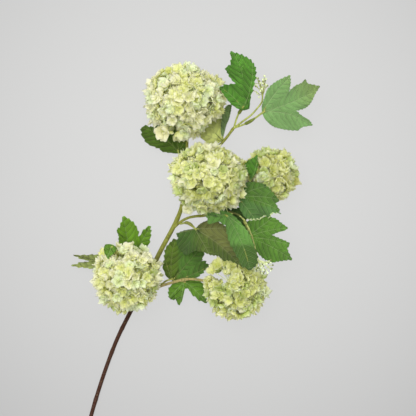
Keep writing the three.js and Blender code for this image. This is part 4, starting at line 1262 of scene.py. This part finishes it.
def dealt(tints, random):
    """One tint, drawn by its share."""
    mark = next(random) * sum(share for _, share in tints)
    for tint, share in tints:
        mark -= share
        if mark <= 0:
            return tint
    return tints[-1][0]


def obstacles():
    """Every piece made so far, as one tree in millimetres, that petals keep out of. The CAD
    nodes are left out, because the pieces stand for them."""
    points, faces = [], []
    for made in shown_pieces():
        if "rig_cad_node" in made:
            continue
        first = len(points)
        points += [vert.co / MM + FOOTPRINT_CENTRE for vert in made.data.vertices]
        faces += [[first + index for index in face.vertices] for face in made.data.polygons]
    return BVHTree.FromPolygons(points, faces)


def set_floret(stock, centre, way, facing, spin, size, distance):
    """Points of a floret whose middle lies at a distance along its way from the head's centre."""
    turn = np.array(turned_to(facing, spin))
    points = stock.points @ turn.T * size + np.array(centre + way * distance)
    points[:, 2] = np.maximum(points[:, 2], CLEAR_OF_SURFACE)
    return points


def clear_place(stock, blocked, setting, distance):
    """The floret's points at the first depth where it touches no leaf or branch, or None."""
    for sink in SINKS:
        points = set_floret(stock, distance=distance - sink, **setting)
        body = BVHTree.FromPolygons(points.tolist(), stock.faces)
        if not body.overlap(blocked):
            return points
    return None


def add_floret(pile, hubs, blocked, stock, tint, setting, distance):
    """One floret with its pedicel, set where it touches no leaf or branch."""
    points = clear_place(stock, blocked, setting, distance)
    if points is None:
        return
    pile.add(stock, points, tint)
    throat = Vector(points[stock.throat].mean(axis=0))
    hub = min(hubs, key=lambda place: (place - throat).length)
    back = -setting["facing"]
    stalk = stalk_points(hub, throat + back * 5, throat + back * 0.8, PEDICEL_RADIUS)
    pile.add(STALK, stalk, PEDICEL_INDEX)


def make_bloom(bloom, blocked):
    """A head of florets in two layers on pedicels that fork from its stalk."""
    random = sequence(bloom["seed"])
    centre = Vector(bloom["centre"])
    radius = bloom["radius"]
    outer = round(FLORETS_PER_AREA * radius * radius)
    stretch = (*bloom.get("stretch", (1, 1)), 1)
    inner = bloom.get("inner", INNER_TINTS)
    layers = [
        (outer, OUTER_DEPTHS, OUTER_LEAN, OUTER_FLORETS, bloom["tints"]),
        (round(outer * INNER_SHARE), INNER_DEPTHS, INNER_LEAN, INNER_FLORETS, (inner, inner)),
    ]
    pile = Pile()
    hubs = [centre + direction * HUB_SHARE * radius for direction in spread(HUBS, random, HUB_NUDGE)]
    for place, facing, size, tint in bloom.get("placed", []):
        way = Vector(place) - centre
        stock = OUTER_FLORETS[int(next(random) * FLORET_VARIANTS)]
        setting = dict(centre=centre, way=way.normalized(), facing=Vector(facing).normalized(),
                       spin=between(0, 2 * math.pi, random), size=size)
        add_floret(pile, hubs, blocked, stock, tint, setting, way.length)
    for count, depths, lean, stocks, (lit_tints, far_tints) in layers:
        for direction in spread(count, random, FLORET_NUDGE):
            bulge = 1 + BULGE * noise.noise(direction * 2.2 + centre)
            distance = radius * bulge * between(*depths, random)
            facing = (direction + nudge(random) * 2 * lean).normalized()
            size = between(*FLORET_SIZES, random)
            spin = between(0, 2 * math.pi, random)
            stock = stocks[int(next(random) * FLORET_VARIANTS)]
            lit = next(random) < smooth(-0.7, 0.7, direction.dot(LIT_SIDE))
            tint = dealt(lit_tints if lit else far_tints, random)
            way = Vector([part * scale for part, scale in zip(direction, stretch)])
            middle = centre + way * distance
            if any(math.hypot(middle.x - x, middle.y - y) < r for x, y, r in bloom.get("gaps", [])):
                continue
            setting = dict(centre=centre, way=way, facing=facing, spin=spin, size=size)
            add_floret(pile, hubs, blocked, stock, tint, setting, distance)
    return pile, hubs


def make_peduncles(bloom, hubs):
    """The green stalks inside a head, from the end of its branch to the forks."""
    end = Vector(bloom["stalk_end"])
    shapes = []
    for hub in hubs:
        middle = end.lerp(hub, 0.5) + (hub - Vector(bloom["centre"])) * 0.08
        shapes.append((tube([end, middle, hub], along_radii(PEDUNCLE_RADII), 6, 8), 0))
    return joined(shapes)


blocked = obstacles()
for bloom_name, bloom in BLOOMS.items():
    pile, hubs = make_bloom(bloom, blocked)
    finishes = [*PETAL_TINTS, THROAT, PEDICEL]
    piece(bloom_name + "_florets", pile.mesh(bloom_name), finishes, bloom["slot"], bloom_name)
    stalks = finished(make_peduncles(bloom, hubs), bloom_name + "_stalks")
    piece(bloom_name + "_stalks", stalks, [PEDICEL], "stem_green")

# ---------------------------------------------------------------- bud clusters

BUD_RADIUS = 1.6
SMALL_BUDS = (0.6, 0.85)        # least and most, as shares of the main bud
TWIG_LUMPS = (0.1, 3)           # height and size
THREAD_RISE = 2                 # how high a thread bends up halfway
FORK_LENGTHS = (2, 4.5)
FORK_SWAY = 9
BUD_SEED = 701

# A cluster's threads, given by their radii, carry its main buds, given as places. Finer forks,
# given by one radius, carry a number of small buds beside each main one. The finishes are
# those of buds, stalks and dark buds.
BUD_CLUSTERS = {
    "buds_upper": dict(
        twig=[(32, 99.5, 46), (42, 107, 48), (54, 116, 50), (62, 125, 51), (67, 132, 52), (68, 141, 53)],
        radii=[1.3, 1.2, 1.1, 1, 1, 0.9], start=(68, 140, 53), threads=(0.5, 0.4, 0.35), fork=0.3, small=3,
        finishes=[BUD_SKIN, PETIOLE_COATING, BUD_DARK],
        buds=[(60.9, 161.6, 56), (70.2, 164, 58), (72.1, 160.4, 55), (65.2, 155.4, 57), (60.3, 152.4, 54),
              (67.1, 147.9, 57), (61.6, 142.5, 53), (72.8, 153, 55)]),
    "buds_lower": dict(
        twig=[(60, -57.8, 61), (61.5, -62, 60.7), (63, -66, 60.5)],
        radii=[1.1, 1, 0.9], start=(62.5, -65, 60.5), threads=(0.6, 0.5, 0.45), fork=0.4, small=4,
        finishes=[BUD_PALE, PEDICEL, BUD_DARK],
        buds=[(58.6, -72.1, 59), (66.1, -74.1, 58), (73.1, -69.4, 57), (78.1, -68.1, 56), (79.6, -75.9, 54),
              (74.5, -80.9, 52), (67.2, -81.9, 52), (60, -80.6, 54), (55.9, -85.5, 50), (53.9, -78.3, 56)]),
}


def bud_shape(centre, heading, radius):
    """One closed bud, a little longer than wide, with a pinched tip."""
    bm = bmesh.new()
    bmesh.ops.create_icosphere(bm, subdivisions=2, radius=radius)
    for vert in bm.verts:
        share = vert.co.z / radius
        pinch = 1 - 0.35 * max(share, 0) ** 2
        vert.co = Vector((vert.co.x * pinch * 0.95, vert.co.y * pinch * 0.95, vert.co.z * 1.05))
    turn = Matrix.Translation(centre) @ turned_to(heading).to_4x4()
    bmesh.ops.transform(bm, matrix=turn, verts=bm.verts)
    return shade_smooth(bm)


def make_buds(cluster, seed):
    """A twig that ends in hair-thin pedicels, each with a main bud and some smaller ones."""
    random = sequence(seed)
    twig = tube(cluster["twig"], along_radii(cluster["radii"]), 8, 6 * len(cluster["twig"]))
    roughen(twig, *TWIG_LUMPS)
    shapes = [(twig, 1)]
    start = Vector(cluster["start"])
    for place in cluster["buds"]:
        bud = Vector(place)
        middle = start.lerp(bud, 0.5) + Vector((0, 0, THREAD_RISE))
        onwards = (bud - middle).normalized()
        shapes.append((tube([start, middle, bud], along_radii(cluster["threads"]), 5, 8), 1))
        shapes.append((bud_shape(bud, onwards, BUD_RADIUS), 0))
        fork = middle.lerp(bud, 0.35)
        for i in range(cluster["small"]):
            sway = nudge(random) * FORK_SWAY
            small = fork + onwards * between(*FORK_LENGTHS, random) + sway
            thread = tube([fork, fork.lerp(small, 0.5), small], lambda share: cluster["fork"], 4, 3)
            shapes.append((thread, 1))
            size = BUD_RADIUS * between(*SMALL_BUDS, random)
            shapes.append((bud_shape(small, (small - fork).normalized(), size), 2 * (i % 2)))
    return joined(shapes)


for number, (cluster_name, cluster) in enumerate(BUD_CLUSTERS.items()):
    mesh = finished(make_buds(cluster, BUD_SEED + number), cluster_name + "_spray")
    piece(cluster_name + "_spray", mesh, cluster["finishes"], "buds", cluster_name)

# ---------------------------------------------------------------- stage, light and camera

CAMERA_HEIGHT = 3.0
FIELD = 0.52                    # metres across the view, at FIELD_HEIGHT above the floor
FIELD_HEIGHT = 0.04
SENSOR = 36
FLOOR_SIZE = 8
# The floor's glow is painted light, brightest at this place and dimmer towards its edge.
BRIGHTEST = (0.0265, 0.202, 0.0)        # place on the floor, in metres
DIM_AT = 0.4225                 # metres from there to where the glow is that of its edge
GLOW_MIDDLE = (0.655, 0.655, 0.648, 1)
GLOW_EDGE = (0.482, 0.482, 0.479, 1)
ROOM_BRIGHTNESS = 0.72


def make_floor():
    """A dark surface that glows pale as painted light, a painted pool of light brightest near the middle,
    which also keeps shadows on it faint.
    """
    bm = bmesh.new()
    bmesh.ops.create_grid(bm, x_segments=1, y_segments=1, size=FLOOR_SIZE)
    mesh = bpy.data.meshes.new("floor")
    bm.to_mesh(mesh)
    bm.free()
    floor = bpy.data.objects.new("floor", mesh)
    shine = {"Specular_IOR_Level": 0.0, "Emission_Strength": 1.0}
    material, graph, surface, where = finish("glowing_floor", 0.9, **shine)
    patches = graph.mottle(where["Object"], 3.0, 0.6)
    graph.feed(surface.inputs["Base Color"], graph.blend(patches, linear(52, 52, 52), linear(56, 56, 56)))
    ends = {0: where["Object"], 1: BRIGHTEST}
    spoke = graph.put("ShaderNodeVectorMath", ends, operation="DISTANCE").outputs["Value"]
    fade = graph.times(graph.times(spoke, spoke), 1 / DIM_AT ** 2)
    graph.feed(surface.inputs["Emission Color"], graph.blend(fade, GLOW_MIDDLE, GLOW_EDGE))
    mesh.materials.append(material)
    bpy.context.scene.collection.objects.link(floor)


def wide_sun(name, place, strength, width_deg):
    """A soft light that shines from a place towards the middle of the floor."""
    data = bpy.data.lights.new(name, "SUN")
    data.energy = strength
    data.angle = math.radians(width_deg)
    light = bpy.data.objects.new(name, data)
    light.location = place
    light.rotation_mode = "QUATERNION"
    light.rotation_quaternion = (-Vector(place)).to_track_quat("-Z", "Y")
    bpy.context.scene.collection.objects.link(light)


def make_world(brightness):
    world = bpy.data.worlds.new("soft_room")
    world.use_nodes = True
    background = world.node_tree.nodes["Background"]
    background.inputs["Color"].default_value = (1, 1, 1, 1)
    background.inputs["Strength"].default_value = brightness
    bpy.context.scene.world = world


def make_camera():
    """A camera that looks straight down on the point from which lengths are measured."""
    data = bpy.data.cameras.new("view_from_above")
    data.sensor_width = SENSOR
    data.lens = SENSOR * (CAMERA_HEIGHT - FIELD_HEIGHT) / FIELD
    data.clip_start = 0.1
    data.clip_end = 50
    camera = bpy.data.objects.new("view_from_above", data)
    camera.location = (-FOOTPRINT_CENTRE.x * MM, -FOOTPRINT_CENTRE.y * MM, CAMERA_HEIGHT)
    bpy.context.scene.collection.objects.link(camera)
    bpy.context.scene.camera = camera


make_floor()
wide_sun("overhead", (-0.15, 0.2, 1.5), 2.4, 40)
wide_sun("window", (-0.55, 0.7, 1.4), 1.5, 70)
make_world(ROOM_BRIGHTNESS)
make_camera()
bpy.context.scene.view_settings.view_transform = "Standard"
